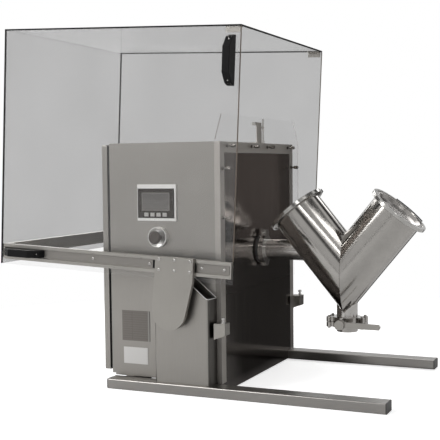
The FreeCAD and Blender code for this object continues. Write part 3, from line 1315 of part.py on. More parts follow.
NODES = {
    "base_frame": base_frame,
    "tube_end_caps": tube_end_caps,
    "cabinet_shell": cabinet_shell,
    "drive_wall_frame": drive_wall_frame,
    "mirror_panel": mirror_panel,
    "service_cover": service_cover,
    "cover_gasket": cover_gasket,
    "cover_screws": cover_screws,
    "front_plates": front_plates,
    "pivot_pillars": lambda: pair(pillar()),
    "pivot_bushes": lambda: pair(pivot_bush()),
    "open_stop_buffers": lambda: pair(open_stop_buffer()),
    "closed_stop_brackets": lambda: pair(closed_stop_bracket()),
    "closed_stop_studs": lambda: pair(closed_stop_stud()),
    "shield_plate": shield_plate,
    "shield_knobs": shield_knobs,
    "sensor_bracket": sensor_bracket,
    "safety_sensor": safety_sensor,
    "hmi_surround": hmi_surround,
    "hmi_housing": hmi_housing,
    "hmi_screen": hmi_screen,
    "estop_collar": estop_collar,
    "estop_button": estop_button,
    "flange_bearing": flange_bearing,
    "shaft_seal": shaft_seal,
    "gearbox": gearbox,
    "drive_motor": drive_motor,
    "control_gear": control_gear,
    "cable_gland": cable_gland,
    "hood_front_panel": hood_front_panel,
    "hood_rear_panel": hood_rear_panel,
    "hood_top_panel": hood_top_panel,
    "hood_end_panel": hood_end_panel,
    "hood_corner_seals": hood_corner_seals,
    "hood_bars": hood_bars,
    "hood_bar_strips": hood_bar_strips,
    "hood_screws": hood_screws,
    "hood_gussets": hood_gussets,
    "hood_arms": hood_arms,
    "hood_pivot_shaft": pivot_shaft,
    "hood_stop_lugs": hood_stop_lugs,
    "hood_handles": hood_handles,
    "drive_shaft": drive_shaft,
    "vessel_clamp": vessel_clamp,
    "vessel_legs": vessel_legs,
    "vessel_fittings": vessel_fittings,
    "lid_seals": lid_seals,
    "left_lid": lambda: lid(-1),
    "right_lid": lambda: lid(1),
    "left_clamp_ring": lambda: clamp_ring(-1, LEFT_LEVER_ANGLE),
    "right_clamp_ring": lambda: clamp_ring(1, RIGHT_LEVER_ANGLE),
    "left_ring_lever": lambda: ring_lever(-1, LEFT_LEVER_ANGLE),
    "right_ring_lever": lambda: ring_lever(1, RIGHT_LEVER_ANGLE),
    "valve_body": valve_body,
    "valve_disc": valve_disc,
    "valve_lever": valve_lever,
}
for number, (key_x, key_z) in enumerate(key_places(), start=1):
    NODES["hmi_key_%d" % number] = lambda x=key_x, z=key_z: hmi_key(x, z)

os.makedirs("parts", exist_ok=True)
for node, build in NODES.items():
    shape = build()
    shape.exportStep("parts/%s.step" % node)
    print("%-22s solids %2d  valid %s  volume %.0f"
          % (node, len(shape.Solids), shape.isValid(), shape.Volume))
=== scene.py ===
"""Looks of a laboratory bin blender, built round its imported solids."""

from __future__ import annotations

import json
import logging
import math
from dataclasses import dataclass, field
from enum import Enum
from typing import Iterable, Sequence

import bmesh
import bpy
from mathutils import Matrix, Vector

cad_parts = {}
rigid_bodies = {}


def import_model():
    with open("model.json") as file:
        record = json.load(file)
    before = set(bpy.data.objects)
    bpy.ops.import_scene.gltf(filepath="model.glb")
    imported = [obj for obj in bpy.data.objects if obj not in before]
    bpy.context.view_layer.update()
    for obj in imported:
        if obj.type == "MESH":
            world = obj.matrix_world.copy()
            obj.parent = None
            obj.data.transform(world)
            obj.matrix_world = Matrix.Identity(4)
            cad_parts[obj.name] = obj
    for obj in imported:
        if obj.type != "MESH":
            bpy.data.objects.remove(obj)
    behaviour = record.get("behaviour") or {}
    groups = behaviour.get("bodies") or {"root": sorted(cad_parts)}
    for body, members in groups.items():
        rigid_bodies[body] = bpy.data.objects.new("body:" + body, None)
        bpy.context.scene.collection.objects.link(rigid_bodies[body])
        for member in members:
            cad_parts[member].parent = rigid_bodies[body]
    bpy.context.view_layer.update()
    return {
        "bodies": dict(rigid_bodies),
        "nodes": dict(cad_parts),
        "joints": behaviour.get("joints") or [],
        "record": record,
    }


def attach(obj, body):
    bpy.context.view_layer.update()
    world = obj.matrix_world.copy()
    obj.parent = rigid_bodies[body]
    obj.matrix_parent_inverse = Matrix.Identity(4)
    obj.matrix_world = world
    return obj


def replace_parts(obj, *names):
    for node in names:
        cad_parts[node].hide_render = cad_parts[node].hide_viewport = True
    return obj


LOG = logging.getLogger("bin_blender")
MM = 0.001
FACE_LIMIT = 0.6
SMOOTH_ANGLE = 32.0
BEVEL_SEGMENTS = 2
BEVEL_PROFILE = 0.6
LATHE_STEPS = 24

Colour = tuple[float, float, float]
Point = tuple[float, float, float]

# Painted shade: the dark tone that some steel faces are blended towards.
PAINTED_SHADE_TONE: Colour = (0.02, 0.018, 0.016)
WHITE = (1.0, 1.0, 1.0, 1.0)


# Shader tools


class Grain(Enum):
    """Direction in which a sheet was ground, as the stretch of its texture."""

    ALONG_X = (0.03, 1.0, 1.0)
    ALONG_Z = (1.0, 1.0, 0.03)
    NONE = (1.0, 1.0, 1.0)


class Operation(Enum):
    """Math node operations that the expressions use."""

    ADD = "ADD"
    SUBTRACT = "SUBTRACT"
    MULTIPLY = "MULTIPLY"
    DIVIDE = "DIVIDE"
    POWER = "POWER"
    MINIMUM = "MINIMUM"
    MAXIMUM = "MAXIMUM"
    LESS_THAN = "LESS_THAN"
    GREATER_THAN = "GREATER_THAN"
    ABSOLUTE = "ABSOLUTE"
    FRACT = "FRACT"


@dataclass(frozen=True)
class Socket:
    """An output socket that can be used in arithmetic."""

    graph: "Graph"
    link: bpy.types.NodeSocket

    def math(self, operation: Operation, other: "Socket | float | None" = None,
             swap: bool = False) -> "Socket":
        """Adds one Math node.

        Args:
            operation: What the node works out.
            other: The second value, where the operation takes one.
            swap: Puts the other value first.

        Returns:
            The node's result.
        """
        values: list[Socket | float | None] = [other, self] if swap else [self, other]
        inputs = {index: value for index, value in enumerate(values) if value is not None}
        return self.graph.node("ShaderNodeMath", {"operation": operation.value}, inputs)

    def __add__(self, other: "Socket | float") -> "Socket":
        """Sum."""
        return self.math(Operation.ADD, other)

    def __radd__(self, other: float) -> "Socket":
        """Sum with a number first."""
        return self.math(Operation.ADD, other, swap=True)

    def __sub__(self, other: "Socket | float") -> "Socket":
        """Difference."""
        return self.math(Operation.SUBTRACT, other)

    def __rsub__(self, other: float) -> "Socket":
        """Difference with a number first."""
        return self.math(Operation.SUBTRACT, other, swap=True)

    def __mul__(self, other: "Socket | float") -> "Socket":
        """Product."""
        return self.math(Operation.MULTIPLY, other)

    def __rmul__(self, other: float) -> "Socket":
        """Product with a number first."""
        return self.math(Operation.MULTIPLY, other, swap=True)

    def __truediv__(self, other: "Socket | float") -> "Socket":
        """Quotient."""
        return self.math(Operation.DIVIDE, other)

    def __pow__(self, other: float) -> "Socket":
        """Power."""
        return self.math(Operation.POWER, other)

    def __lt__(self, other: "Socket | float") -> "Socket":
        """One where this is smaller, else zero."""
        return self.math(Operation.LESS_THAN, other)

    def __gt__(self, other: "Socket | float") -> "Socket":
        """One where this is larger, else zero."""
        return self.math(Operation.GREATER_THAN, other)

    def __abs__(self) -> "Socket":
        """Absolute value."""
        return self.math(Operation.ABSOLUTE)

    def fract(self) -> "Socket":
        """Part after the decimal point."""
        return self.math(Operation.FRACT)


class Graph:
    """A node tree with one method that adds any node."""

    def __init__(self, tree: bpy.types.NodeTree) -> None:
        """Empties the tree.

        Args:
            tree: The material's or world's node tree.
        """
        self.tree = tree
        tree.nodes.clear()

    def node(self, kind: str, settings: dict[str, object] | None = None,
             inputs: dict[object, object] | None = None, output: int | str = 0) -> Socket:
        """Adds a node.

        Args:
            kind: Blender's name of the node type.
            settings: Attributes to set first; "stops" gives a colour ramp's stops.
            inputs: Socket name or number to a value or a Socket.
            output: Which output is returned.

        Returns:
            The chosen output.
        """
        node = self.tree.nodes.new(kind)
        for name, value in (settings or {}).items():
            if name == "stops":
                self._stops(node, value)
            else:
                setattr(node, name, value)
        for name, value in (inputs or {}).items():
            socket = node.inputs[name]
            if isinstance(value, Socket):
                self.tree.links.new(value.link, socket)
            elif isinstance(value, tuple) and len(value) == 3 and socket.type == "RGBA":
                socket.default_value = (*value, 1.0)
            else:
                socket.default_value = value
        outputs = node.outputs
        return Socket(self, outputs[output]) if outputs else Socket(self, None)

    @staticmethod
    def _stops(node: bpy.types.Node, stops: Sequence[tuple[float, Colour]]) -> None:
        """Sets a colour ramp's stops.

        Args:
            node: The ramp node.
            stops: Place and colour of each stop.
        """
        elements = node.color_ramp.elements
        while len(elements) > 1:
            elements.remove(elements[-1])
        for number, (place, colour) in enumerate(stops):
            element = elements[0] if number == 0 else elements.new(place)
            element.position = place
            element.color = (*colour, 1.0)

    def place(self) -> Socket:
        """Coordinates in metres in the machine's frame."""
        return self.node("ShaderNodeTexCoord", output="Object")

    def axes(self) -> tuple[Socket, Socket, Socket]:
        """The three coordinates one by one."""
        place = self.place()
        return tuple(self.node("ShaderNodeSeparateXYZ", None, {0: place}, axis) for axis in range(3))

    def turned_to(self, axis: int) -> Socket:
        """One on faces that look along an axis, either way, else zero.

        Args:
            axis: Number of the axis.

        Returns:
            The mask.
        """
        normal = self.node("ShaderNodeNewGeometry", output="Normal")
        return abs(self.node("ShaderNodeSeparateXYZ", None, {0: normal}, axis)) > FACE_LIMIT

    @staticmethod
    def share(value: Socket) -> Socket:
        """A value held between 0 and 1."""
        return value.math(Operation.MINIMUM, 1.0).math(Operation.MAXIMUM, 0.0)

    def stretched(self, grain: Grain) -> Socket:
        """Coordinates drawn out along the grain.

        Args:
            grain: The direction of the grain.

        Returns:
            The scaled coordinates.
        """
        return self.node("ShaderNodeVectorMath", {"operation": "MULTIPLY"}, {0: self.place(), 1: grain.value})

    def noise(self, vector: Socket, scale: float, detail: float = 3.0) -> Socket:
        """Noise between 0 and 1.

        Args:
            vector: Where it is read.
            scale: Cells per metre.
            detail: Octaves.

        Returns:
            The noise value.
        """
        return self.node("ShaderNodeTexNoise", None, {"Vector": vector, "Scale": scale, "Detail": detail})

    def ramp(self, value: Socket, stops: Sequence[tuple[float, Colour]]) -> Socket:
        """Colour ramp of a value.

        Args:
            value: Place on the ramp.
            stops: Place and colour of each stop.

        Returns:
            The colour.
        """
        return self.node("ShaderNodeValToRGB", {"stops": stops}, {0: value})

    def blend(self, factor: "Socket | float", first: object, second: object) -> Socket:
        """Mix of two colours.

        Args:
            factor: Share of the second.
            first: Colour or Socket.
            second: Colour or Socket.

        Returns:
            The mixed colour.
        """
        inputs = {0: factor, 6: self._rgba(first), 7: self._rgba(second)}
        return self.node("ShaderNodeMix", {"data_type": "RGBA"}, inputs, 2)

    @staticmethod
    def _rgba(colour: object) -> object:
        """A colour with its alpha, or the socket as it is."""
        return colour if isinstance(colour, Socket) else (*colour, 1.0)

    def bump(self, height: Socket, strength: float, distance: float) -> Socket:
        """Normal from a height.

        Args:
            height: The height, 0 to 1.
            strength: Share of the effect.
            distance: Height of 1 in metres.

        Returns:
            The bent normal.
        """
        relief = {"Height": height, "Strength": strength, "Distance": distance}
        return self.node("ShaderNodeBump", None, relief)

    def surface(self, **inputs: object) -> Socket:
        """Adds the Principled shader.

        Args:
            **inputs: Socket names with underscores for spaces.

        Returns:
            The shader.
        """
        named = {name.replace("_", " "): value for name, value in inputs.items()}
        return self.node("ShaderNodeBsdfPrincipled", None, named)

    def finish(self, shader: Socket) -> None:
        """Links a shader to the material's output.

        Args:
            shader: The surface shader.
        """
        self.node("ShaderNodeOutputMaterial", None, {"Surface": shader})


# Finishes


@dataclass(frozen=True)
class Finish:
    """Base of the finishes: a name and a material that is built once."""

    name: str

    def shader(self, graph: Graph) -> Socket:
        """The surface shader."""
        raise NotImplementedError

    def material(self) -> bpy.types.Material:
        """The material of this finish, built the first time that it is asked for.

        Returns:
            The material.
        """
        title = "%s_finish" % self.name
        found = bpy.data.materials.get(title)
        if found is None:
            found = bpy.data.materials.new(title)
            found.use_nodes = True
            graph = Graph(found.node_tree)
            graph.finish(self.shader(graph))
        return found


@dataclass(frozen=True)
class GroundSteel(Finish):
    """Stainless sheet or bar with a ground grain and soft clouds of handling, and, where asked, painted shade
    on faces that look along one axis.
    """

    colour: Colour = (0.335, 0.32, 0.298)
    roughness: float = 0.34
    grain: Grain = Grain.ALONG_Z
    lines: float = 420.0
    depth: float = 0.00004
    # Painted shade: faces that look along this axis (none at -1) are darkened by the share below, under the
    # height below.
    painted_shade_axis: int = -1
    shade: float = 0.6
    painted_shade_top: float = 2.0
    cloud_cells: float = 5.0
    smear_cells: float = 38.0
    grain_share: float = 0.45
    relief: float = 0.5

    def shader(self, graph: Graph) -> Socket:
        """Grain in colour, roughness and relief, over slow clouds, with painted shade on faces along one axis
        where asked.

        Args:
            graph: The material's graph.

        Returns:
            The surface shader.
        """
        grain = graph.noise(graph.stretched(self.grain), self.lines, 4.0)
        cloud = graph.noise(graph.place(), self.cloud_cells, 2.0)
        smear = graph.noise(graph.place(), self.smear_cells)
        tone = (1.0 - self.grain_share) * cloud + self.grain_share * grain
        dark = tuple(0.86 * part for part in self.colour)
        light = tuple(min(1.0, 1.12 * part) for part in self.colour)
        base = graph.blend(tone, dark, light)
        # Painted shade, standing for reflections of a dark room: faces along the axis, below the height, go
        # towards the shade tone.
        if self.painted_shade_axis >= 0:
            low = graph.axes()[2] < self.painted_shade_top
            painted_shade = self.shade * graph.turned_to(self.painted_shade_axis) * low
            base = graph.blend(painted_shade, base, PAINTED_SHADE_TONE)
        return graph.surface(
            Base_Color=base,
            Metallic=1.0,
            Roughness=self.roughness - 0.09 + 0.1 * grain + 0.08 * smear,
            Normal=graph.bump(grain, self.relief, self.depth))


@dataclass(frozen=True)
class PolishedSteel(Finish):
    """Mirror-polished stainless steel with faint buffing lines and a slow waviness."""

    colour: Colour = (0.385, 0.37, 0.35)
    roughness: float = 0.12
    grain: Grain = Grain.NONE
    wave: float = 0.00025
    haze_cells: float = 26.0
    fine_cells: float = 300.0
    wave_cells: float = 9.0
    relief: float = 0.25

    def shader(self, graph: Graph) -> Socket:
        """Buffing haze in the roughness and a slow wave in the relief.

        Args:
            graph: The material's graph.

        Returns:
            The surface shader.
        """
        haze = graph.noise(graph.place(), self.haze_cells)
        fine = graph.noise(graph.stretched(self.grain), self.fine_cells, 2.0)
        wave = graph.noise(graph.place(), self.wave_cells, 1.0)
        dark = tuple(0.88 * part for part in self.colour)
        light = tuple(min(1.0, 1.08 * part) for part in self.colour)
        return graph.surface(
            Base_Color=graph.blend(haze, dark, light),
            Metallic=1.0,
            Roughness=self.roughness - 0.03 + 0.07 * haze + 0.015 * fine,
            Normal=graph.bump(wave, self.relief, self.wave))


@dataclass(frozen=True)
class DarkMirror(Finish):
    """Dark-looking, highly polished wall that mirrors the vessel and the floor, with painted shade towards
    the floor.
    """

    colour: Colour = (0.34, 0.3, 0.275)
    roughness: float = 0.1
    painted_shade_from: float = 0.78
    painted_shade_over: float = 0.4
    painted_shade_share: float = 0.6
    painted_shade_tone: Colour = (0.02, 0.019, 0.019)
    streak_cells: float = 55.0
    cloud_cells: float = 4.0

    def shader(self, graph: Graph) -> Socket:
        """Brush haze that runs down the wall, over slow clouds, with painted shade towards the floor.

        Args:
            graph: The material's graph.

        Returns:
            The surface shader.
        """
        streak = graph.noise(graph.stretched(Grain.ALONG_Z), self.streak_cells)
        cloud = graph.noise(graph.place(), self.cloud_cells, 2.0)
        dark = tuple(0.7 * part for part in self.colour)
        light = tuple(1.35 * part for part in self.colour)
        base = graph.blend(0.5 * streak + 0.5 * cloud, dark, light)
        # Painted shade: below a height the colour is blended towards a dark tone, standing for a dark
        # reflection.
        low = graph.share((self.painted_shade_from - graph.axes()[2]) / self.painted_shade_over)
        return graph.surface(
            Base_Color=graph.blend(self.painted_shade_share * low, base, self.painted_shade_tone),
            Metallic=1.0,
            Roughness=self.roughness - 0.03 + 0.1 * streak)


@dataclass(frozen=True)
class ClearSheet(Finish):
    """Clear rigid plastic sheet with a grey tint and light wiping marks."""

    tint: Colour = (0.05, 0.049, 0.047)
    alpha: float = 0.03
    roughness: float = 0.04
    gloss: float = 0.25
    index: float = 1.49
    smear_cells: float = 3.0
    scratch_cells: float = 70.0

    def shader(self, graph: Graph) -> Socket:
        """Alpha and roughness with faint wiping marks.

        Args:
            graph: The material's graph.

        Returns:
            The surface shader.
        """
        smear = graph.noise(graph.place(), self.smear_cells)
        scratch = graph.noise(graph.stretched(Grain.ALONG_X), self.scratch_cells, 2.0)
        return graph.surface(
            Base_Color=graph.blend(smear, tuple(0.9 * part for part in self.tint), self.tint),
            Roughness=self.roughness + 0.06 * scratch,
            Alpha=self.alpha * (0.9 + 0.2 * smear),
            Specular_IOR_Level=self.gloss,
            IOR=self.index)


@dataclass(frozen=True)
class Moulded(Finish):
    """Moulded plastic or rubber with a fine grain."""

    colour: Colour = (0.03, 0.03, 0.033)
    roughness: float = 0.42
    cells: float = 900.0
    depth: float = 0.00006
    gloss: float = 0.3
    wear_cells: float = 30.0
    relief: float = 0.4

    def shader(self, graph: Graph) -> Socket:
        """Fine leather-like grain with slow wear in the gloss.

        Args:
            graph: The material's graph.

        Returns:
            The surface shader.
        """
        grain = graph.noise(graph.place(), self.cells, 2.0)
        wear = graph.noise(graph.place(), self.wear_cells)
        light = tuple(1.25 * part + 0.004 for part in self.colour)
        return graph.surface(
            Base_Color=graph.blend(wear, self.colour, light),
            Roughness=self.roughness - 0.06 + 0.12 * wear,
            Specular_IOR_Level=self.gloss,
            Normal=graph.bump(grain, self.relief, self.depth))


@dataclass(frozen=True)
class Painted(Finish):
    """Paint over metal, with a light orange-peel relief; rougher over castings."""

    colour: Colour = (0.3, 0.32, 0.34)
    roughness: float = 0.45
    cells: float = 260.0
    depth: float = 0.00015
    tone_cells: float = 8.0
    relief: float = 0.5

    def shader(self, graph: Graph) -> Socket:
        """Relief of the paint and a slow change of tone.

        Args:
            graph: The material's graph.

        Returns:
            The surface shader.
        """
        peel = graph.noise(graph.place(), self.cells, 2.0)
        tone = graph.noise(graph.place(), self.tone_cells)
        dark = tuple(0.9 * part for part in self.colour)
        return graph.surface(
            Base_Color=graph.blend(tone, dark, self.colour),
            Roughness=self.roughness + 0.1 * peel,
            Normal=graph.bump(peel, self.relief, self.depth))


@dataclass(frozen=True)
class TurnedMetal(Finish):
    """Bright turned metal, for screws, studs and bushes."""

    colour: Colour = (0.55, 0.54, 0.52)
    roughness: float = 0.2
    line_cells: float = 700.0
    cloud_cells: float = 60.0

    def shader(self, graph: Graph) -> Socket:
        """Turning lines as a fine noise in the roughness.

        Args:
            graph: The material's graph.

        Returns:
            The surface shader.
        """
        line = graph.noise(graph.place(), self.line_cells, 2.0)
        cloud = graph.noise(graph.place(), self.cloud_cells, 2.0)
        dark = tuple(0.85 * part for part in self.colour)
        return graph.surface(
            Base_Color=graph.blend(cloud, dark, self.colour),
            Metallic=1.0,
            Roughness=self.roughness + 0.12 * line)


@dataclass(frozen=True)
class Display(Finish):
    """Dim operator screen with a rim and rows of plain dots."""

    left: float = -0.341
    right: float = -0.209
    low: float = 0.756
    high: float = 0.832
    columns: float = 13.0
    rows: float = 8.0
    ground_low: Colour = (0.1, 0.094, 0.088)
    ground_high: Colour = (0.075, 0.07, 0.066)
    dot_tone: Colour = (0.2, 0.192, 0.18)
    rim_tone: Colour = (0.17, 0.162, 0.15)
    glow: float = 0.1

    def shader(self, graph: Graph) -> Socket:
        """Dots in the lower part, as a soft glow under the glass.

        Args:
            graph: The material's graph.

        Returns:
            The surface shader.
        """
        across, _, up = graph.axes()
        u = (across - self.left) / (self.right - self.left)
        v = (up - self.low) / (self.high - self.low)
        rim = (abs(u - 0.5) > 0.47).math(Operation.MAXIMUM, abs(v - 0.5) > 0.45)
        column = (u * self.columns).fract()
        row = (v * self.rows).fract()
        lit = graph.noise(graph.place(), 60.0, 1.0) > 0.46
        dots = (column > 0.3) * (column < 0.75) * (row > 0.3) * (row < 0.75) * (v < 0.62) * (v > 0.1) * lit
        ground = graph.blend(v, self.ground_low, self.ground_high)
        shown = graph.blend(rim, graph.blend(dots, ground, self.dot_tone), self.rim_tone)
        return graph.surface(Base_Color=shown, Roughness=0.3 + 0.04 * lit, Emission_Color=shown,
                             Emission_Strength=self.glow)


@dataclass(frozen=True)
class RuledPlate(Finish):
    """Plain printed plate: a border and ruled rows with no words."""

    left: float = -0.45
    right: float = -0.316
    low: float = 0.197
    high: float = 0.327
    ground: Colour = (0.17, 0.155, 0.14)
    ink: Colour = (0.11, 0.1, 0.092)
    blank: Colour = (0.6, 0.59, 0.575)
    blank_top: float = 0.18
    rows: float = 13.0
    metallic: float = 0.3
    margin: Colour = (0.26, 0.25, 0.235)
    frame_share: float = 0.455
    margin_from: float = 0.93
    margin_light: float = 0.985

    def shader(self, graph: Graph) -> Socket:
        """Ruled rows inside a border.

        Args:
            graph: The material's graph.

        Returns:
            The surface shader.
        """
        across, _, up = graph.axes()
        u = (across - self.left) / (self.right - self.left)
        v = (up - self.low) / (self.high - self.low)
        edge_u = abs(u - 0.5) > self.frame_share
        edge_v = abs(v - 0.5) > self.frame_share
        inside = (1.0 - edge_u) * (1.0 - edge_v)
        row = ((v * self.rows).fract() < 0.14) * inside
        column = (abs(u - 0.36) < 0.007) * inside
        mark = row.math(Operation.MAXIMUM, column)
        tone = graph.noise(graph.place(), 90.0, 3.0)
        ground = graph.blend(tone, tuple(0.92 * part for part in self.ground), self.ground)
        margin = graph.blend(u > self.margin_light, self.margin, self.ink)
        ruled = graph.blend(u > self.margin_from, graph.blend(mark * 0.8, ground, self.ink), margin)
        blank = up < self.blank_top
        return graph.surface(Base_Color=graph.blend(blank, ruled, self.blank),
                             Metallic=self.metallic * (1.0 - blank), Roughness=0.4 + 0.1 * tone)


SHEET_STEEL = GroundSteel("sheet_steel")
# Painted shade on the pillars' sides, the faces that look along X.
PILLAR_STEEL = GroundSteel("pillar_steel", painted_shade_axis=0, shade=0.74)
# Painted shade on faces that look along Y, below 0.49 m.
WALL_STEEL = GroundSteel("wall_steel", colour=(0.46, 0.435, 0.405), roughness=0.4, painted_shade_axis=1,
                         painted_shade_top=0.49)
TUBE_STEEL = GroundSteel("tube_steel", colour=(0.33, 0.317, 0.302), grain=Grain.ALONG_X, roughness=0.3)
BAR_STEEL = GroundSteel("bar_steel", colour=(0.37, 0.355, 0.33), grain=Grain.ALONG_X, roughness=0.3)
STRIP_STEEL = GroundSteel("strip_steel", colour=(0.26, 0.247, 0.23), grain=Grain.ALONG_X, roughness=0.36)
ARM_STEEL = GroundSteel("arm_steel", colour=(0.35, 0.335, 0.31), roughness=0.33)
VESSEL_STEEL = PolishedSteel("vessel_steel")
RING_STEEL = PolishedSteel("ring_steel", colour=(0.46, 0.45, 0.43), roughness=0.14)
LID_STEEL = PolishedSteel("lid_steel", colour=(0.33, 0.315, 0.3), roughness=0.28, wave=0.0001)
# Painted light: a lighter copy of the vessel's polished steel for the fittings, which mirror the shade under
# the machine.
LIT_FITTING_STEEL = PolishedSteel("lit_fitting_steel", colour=(0.52, 0.505, 0.485), roughness=0.2)
# Also used for the pillar mouths' bright beads, which are a painted highlight.
TRIM_STEEL = PolishedSteel("trim_steel", colour=(0.92, 0.91, 0.89), roughness=0.3)
SCREW_STEEL = TurnedMetal("screw_steel")
KNOB_STEEL = TurnedMetal("knob_steel", colour=(0.2, 0.185, 0.17), roughness=0.16)
BRONZE = TurnedMetal("bush_bronze", colour=(0.5, 0.34, 0.14), roughness=0.3)
DARK_WALL = DarkMirror("dark_wall")
CLEAR_SHEET = ClearSheet("clear_sheet", tint=(0.46, 0.455, 0.45), alpha=0.07)
SMOKED_SHEET = ClearSheet("smoked_sheet", alpha=0.31, gloss=0.08)
TOP_SHEET = ClearSheet("top_sheet", alpha=0.37, gloss=0.05)
SENSOR_PLASTIC = Moulded("sensor_plastic", colour=(0.42, 0.41, 0.39), roughness=0.4)
SHIELD_SHEET = ClearSheet("shield_sheet", alpha=0.025)
# Beads and slabs along clear sheet edges: the dark finish is painted shade, the pale one a painted highlight.
PAINTED_EDGE_SHADE = Moulded("painted_edge_shade", colour=(0.13, 0.105, 0.085), roughness=0.35)
PAINTED_EDGE_HIGHLIGHT = Moulded("painted_edge_highlight", colour=(0.92, 0.91, 0.89), roughness=0.3)
BLACK_PLASTIC = Moulded("black_plastic")
HANDLE_PLASTIC = Moulded("handle_plastic", colour=(0.007, 0.007, 0.0075), roughness=0.4, gloss=0.08)
CAP_PLASTIC = Moulded("cap_plastic", colour=(0.05, 0.048, 0.046), roughness=0.5)
KEY_PLASTIC = Moulded("key_plastic", colour=(0.4, 0.39, 0.375), roughness=0.45)
BEZEL_PLASTIC = Moulded("bezel_plastic", colour=(0.022, 0.017, 0.014), roughness=0.45, gloss=0.1)
STOP_PLASTIC = Moulded("stop_plastic", colour=(0.05, 0.04, 0.034), roughness=0.4, cells=170.0, depth=0.0012)
RUBBER = Moulded("black_rubber", colour=(0.007, 0.007, 0.007), roughness=0.6, cells=500.0, gloss=0.1)
GEARBOX_PAINT = Painted("gearbox_paint", colour=(0.25, 0.27, 0.29), roughness=0.5, depth=0.0003)
MOTOR_PAINT = Painted("motor_paint", colour=(0.09, 0.14, 0.22))
CONTROL_PAINT = Painted("control_paint", colour=(0.6, 0.61, 0.6))
DISPLAY = Display("lit_display")
CHART_PLATE = RuledPlate("chart_plate")


# Mesh tools


@dataclass
class Piece:
    """A mesh in the making: rings and faces in millimetres."""

    name: str
    mesh: bmesh.types.BMesh = field(default_factory=bmesh.new)

    def ring(self, points: Iterable[Vector]) -> list[bmesh.types.BMVert]:
        """Adds a row of points.

        Args:
            points: Places in millimetres.

        Returns:
            The new vertices.
        """
        return [self.mesh.verts.new(point * MM) for point in points]

    def bridge(self, first: Sequence[bmesh.types.BMVert], second: Sequence[bmesh.types.BMVert],
               closed: bool = True) -> None:
        """Joins two rows with quads.

        Args:
            first: One row.
            second: The other, of the same length.
            closed: Whether the rows are loops.
        """
        count = len(first)
        for index in range(count if closed else count - 1):
            after = (index + 1) % count
            self.mesh.faces.new((first[index], first[after], second[after], second[index]))

    def cap(self, row: Sequence[bmesh.types.BMVert]) -> None:
        """Closes a loop with one face."""
        self.mesh.faces.new(row)

    def lathe(self, frame: Matrix, rows: Sequence[Sequence[tuple[float, float]]]) -> None:
        """Stacks rings about the frame's Z axis and closes both ends.

        Args:
            frame: Where the turned part stands.
            rows: For each height, the height and the radius at each step round.
        """
        rings = []
        for row in rows:
            count = len(row)
            points = []
            for step, (radius, height) in enumerate(row):
                angle = 2 * math.pi * step / count
                points.append(frame @ Vector((radius * math.cos(angle), radius * math.sin(angle), height)))
            rings.append(self.ring(points))
        for first, second in zip(rings, rings[1:]):
            self.bridge(first, second)
        self.cap(rings[0])
        self.cap(rings[-1])

    def sweep(self, path: Sequence[Vector], radius: float, steps: int = 8, closed: bool = False) -> None:
        """Round bead along a path.

        Args:
            path: Points in millimetres.
            radius: The bead's radius.
            steps: Points round the bead.
            closed: Whether the path is a loop.
        """
        rings = []
        count = len(path)
        side = Vector((0, 0, 1))
        for index, point in enumerate(path):
            before = path[index - 1] if closed or index else point
            after = path[(index + 1) % count] if closed or index < count - 1 else point
            along = (after - before).normalized()
            side = (side - along * side.dot(along)).normalized()
            other = along.cross(side)
            turns = [2 * math.pi * step / steps for step in range(steps)]
            rings.append(self.ring(
                point + radius * (math.cos(turn) * side + math.sin(turn) * other) for turn in turns))
        for first, second in zip(rings, rings[1:]):
            self.bridge(first, second)
        if closed:
            self._join_ends(rings[-1], rings[0])
        else:
            self.cap(rings[0])
            self.cap(rings[-1])

    def _join_ends(self, last: Sequence[bmesh.types.BMVert], first: Sequence[bmesh.types.BMVert]) -> None:
        """Joins a loop's last ring to its first at the turn that fits best.

        Args:
            last: The ring at the path's end.
            first: The ring at its start.
        """
        count = len(last)

        def mismatch(shift: int) -> float:
            """Total distance at one shift."""
            return sum((last[k].co - first[(k + shift) % count].co).length for k in range(count))

        shift = min(range(count), key=mismatch)
        self.bridge(last, [first[(k + shift) % count] for k in range(count)])

    def slab(self, frame: Matrix, size: Sequence[float], bevel: float) -> None:
        """Box with bevelled edges.

        Args:
            frame: Where the box's centre is.
            size: Its three sizes.
            bevel: Width of the bevel.
        """
        made = bmesh.ops.create_cube(self.mesh, size=1.0)
        scale = Matrix.Diagonal((size[0] * MM, size[1] * MM, size[2] * MM, 1.0))
        place = Matrix.Translation(frame.translation * MM) @ frame.to_3x3().to_4x4()
        bmesh.ops.transform(self.mesh, matrix=place @ scale, verts=made["verts"])
        edges = {edge for vert in made["verts"] for edge in vert.link_edges}
        bmesh.ops.bevel(self.mesh, geom=list(edges), offset=bevel * MM, segments=BEVEL_SEGMENTS,
                        profile=BEVEL_PROFILE, affect="EDGES")

    def make(self, finish: Finish, body: str) -> bpy.types.Object:
        """Turns the mesh into an object of the scene.

        Args:
            finish: Its finish.
            body: The body it rides on.

        Returns:
            The new object.
        """
        bmesh.ops.recalc_face_normals(self.mesh, faces=self.mesh.faces)
        data = bpy.data.meshes.new(self.name)
        self.mesh.to_mesh(data)
        self.mesh.free()
        data.materials.append(finish.material())
        thing = bpy.data.objects.new(self.name, data)
        bpy.context.scene.collection.objects.link(thing)
        data.shade_smooth()
        data.set_sharp_from_angle(angle=math.radians(SMOOTH_ANGLE))
        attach(thing, body)
        LOG.info("%s: %d faces on %s", self.name, len(data.polygons), body)
        return thing


def dress(frame: dict, finish: Finish, *nodes: str) -> None:
    """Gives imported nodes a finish.

    Args:
        frame: What the loader returned.
        finish: The finish.
        *nodes: Names of the nodes.
    """
    for name in nodes:
        thing = frame["nodes"][name]
        thing.data.materials.clear()
        thing.data.materials.append(finish.material())
        LOG.info("%s: dressed in %s", name, finish.name)


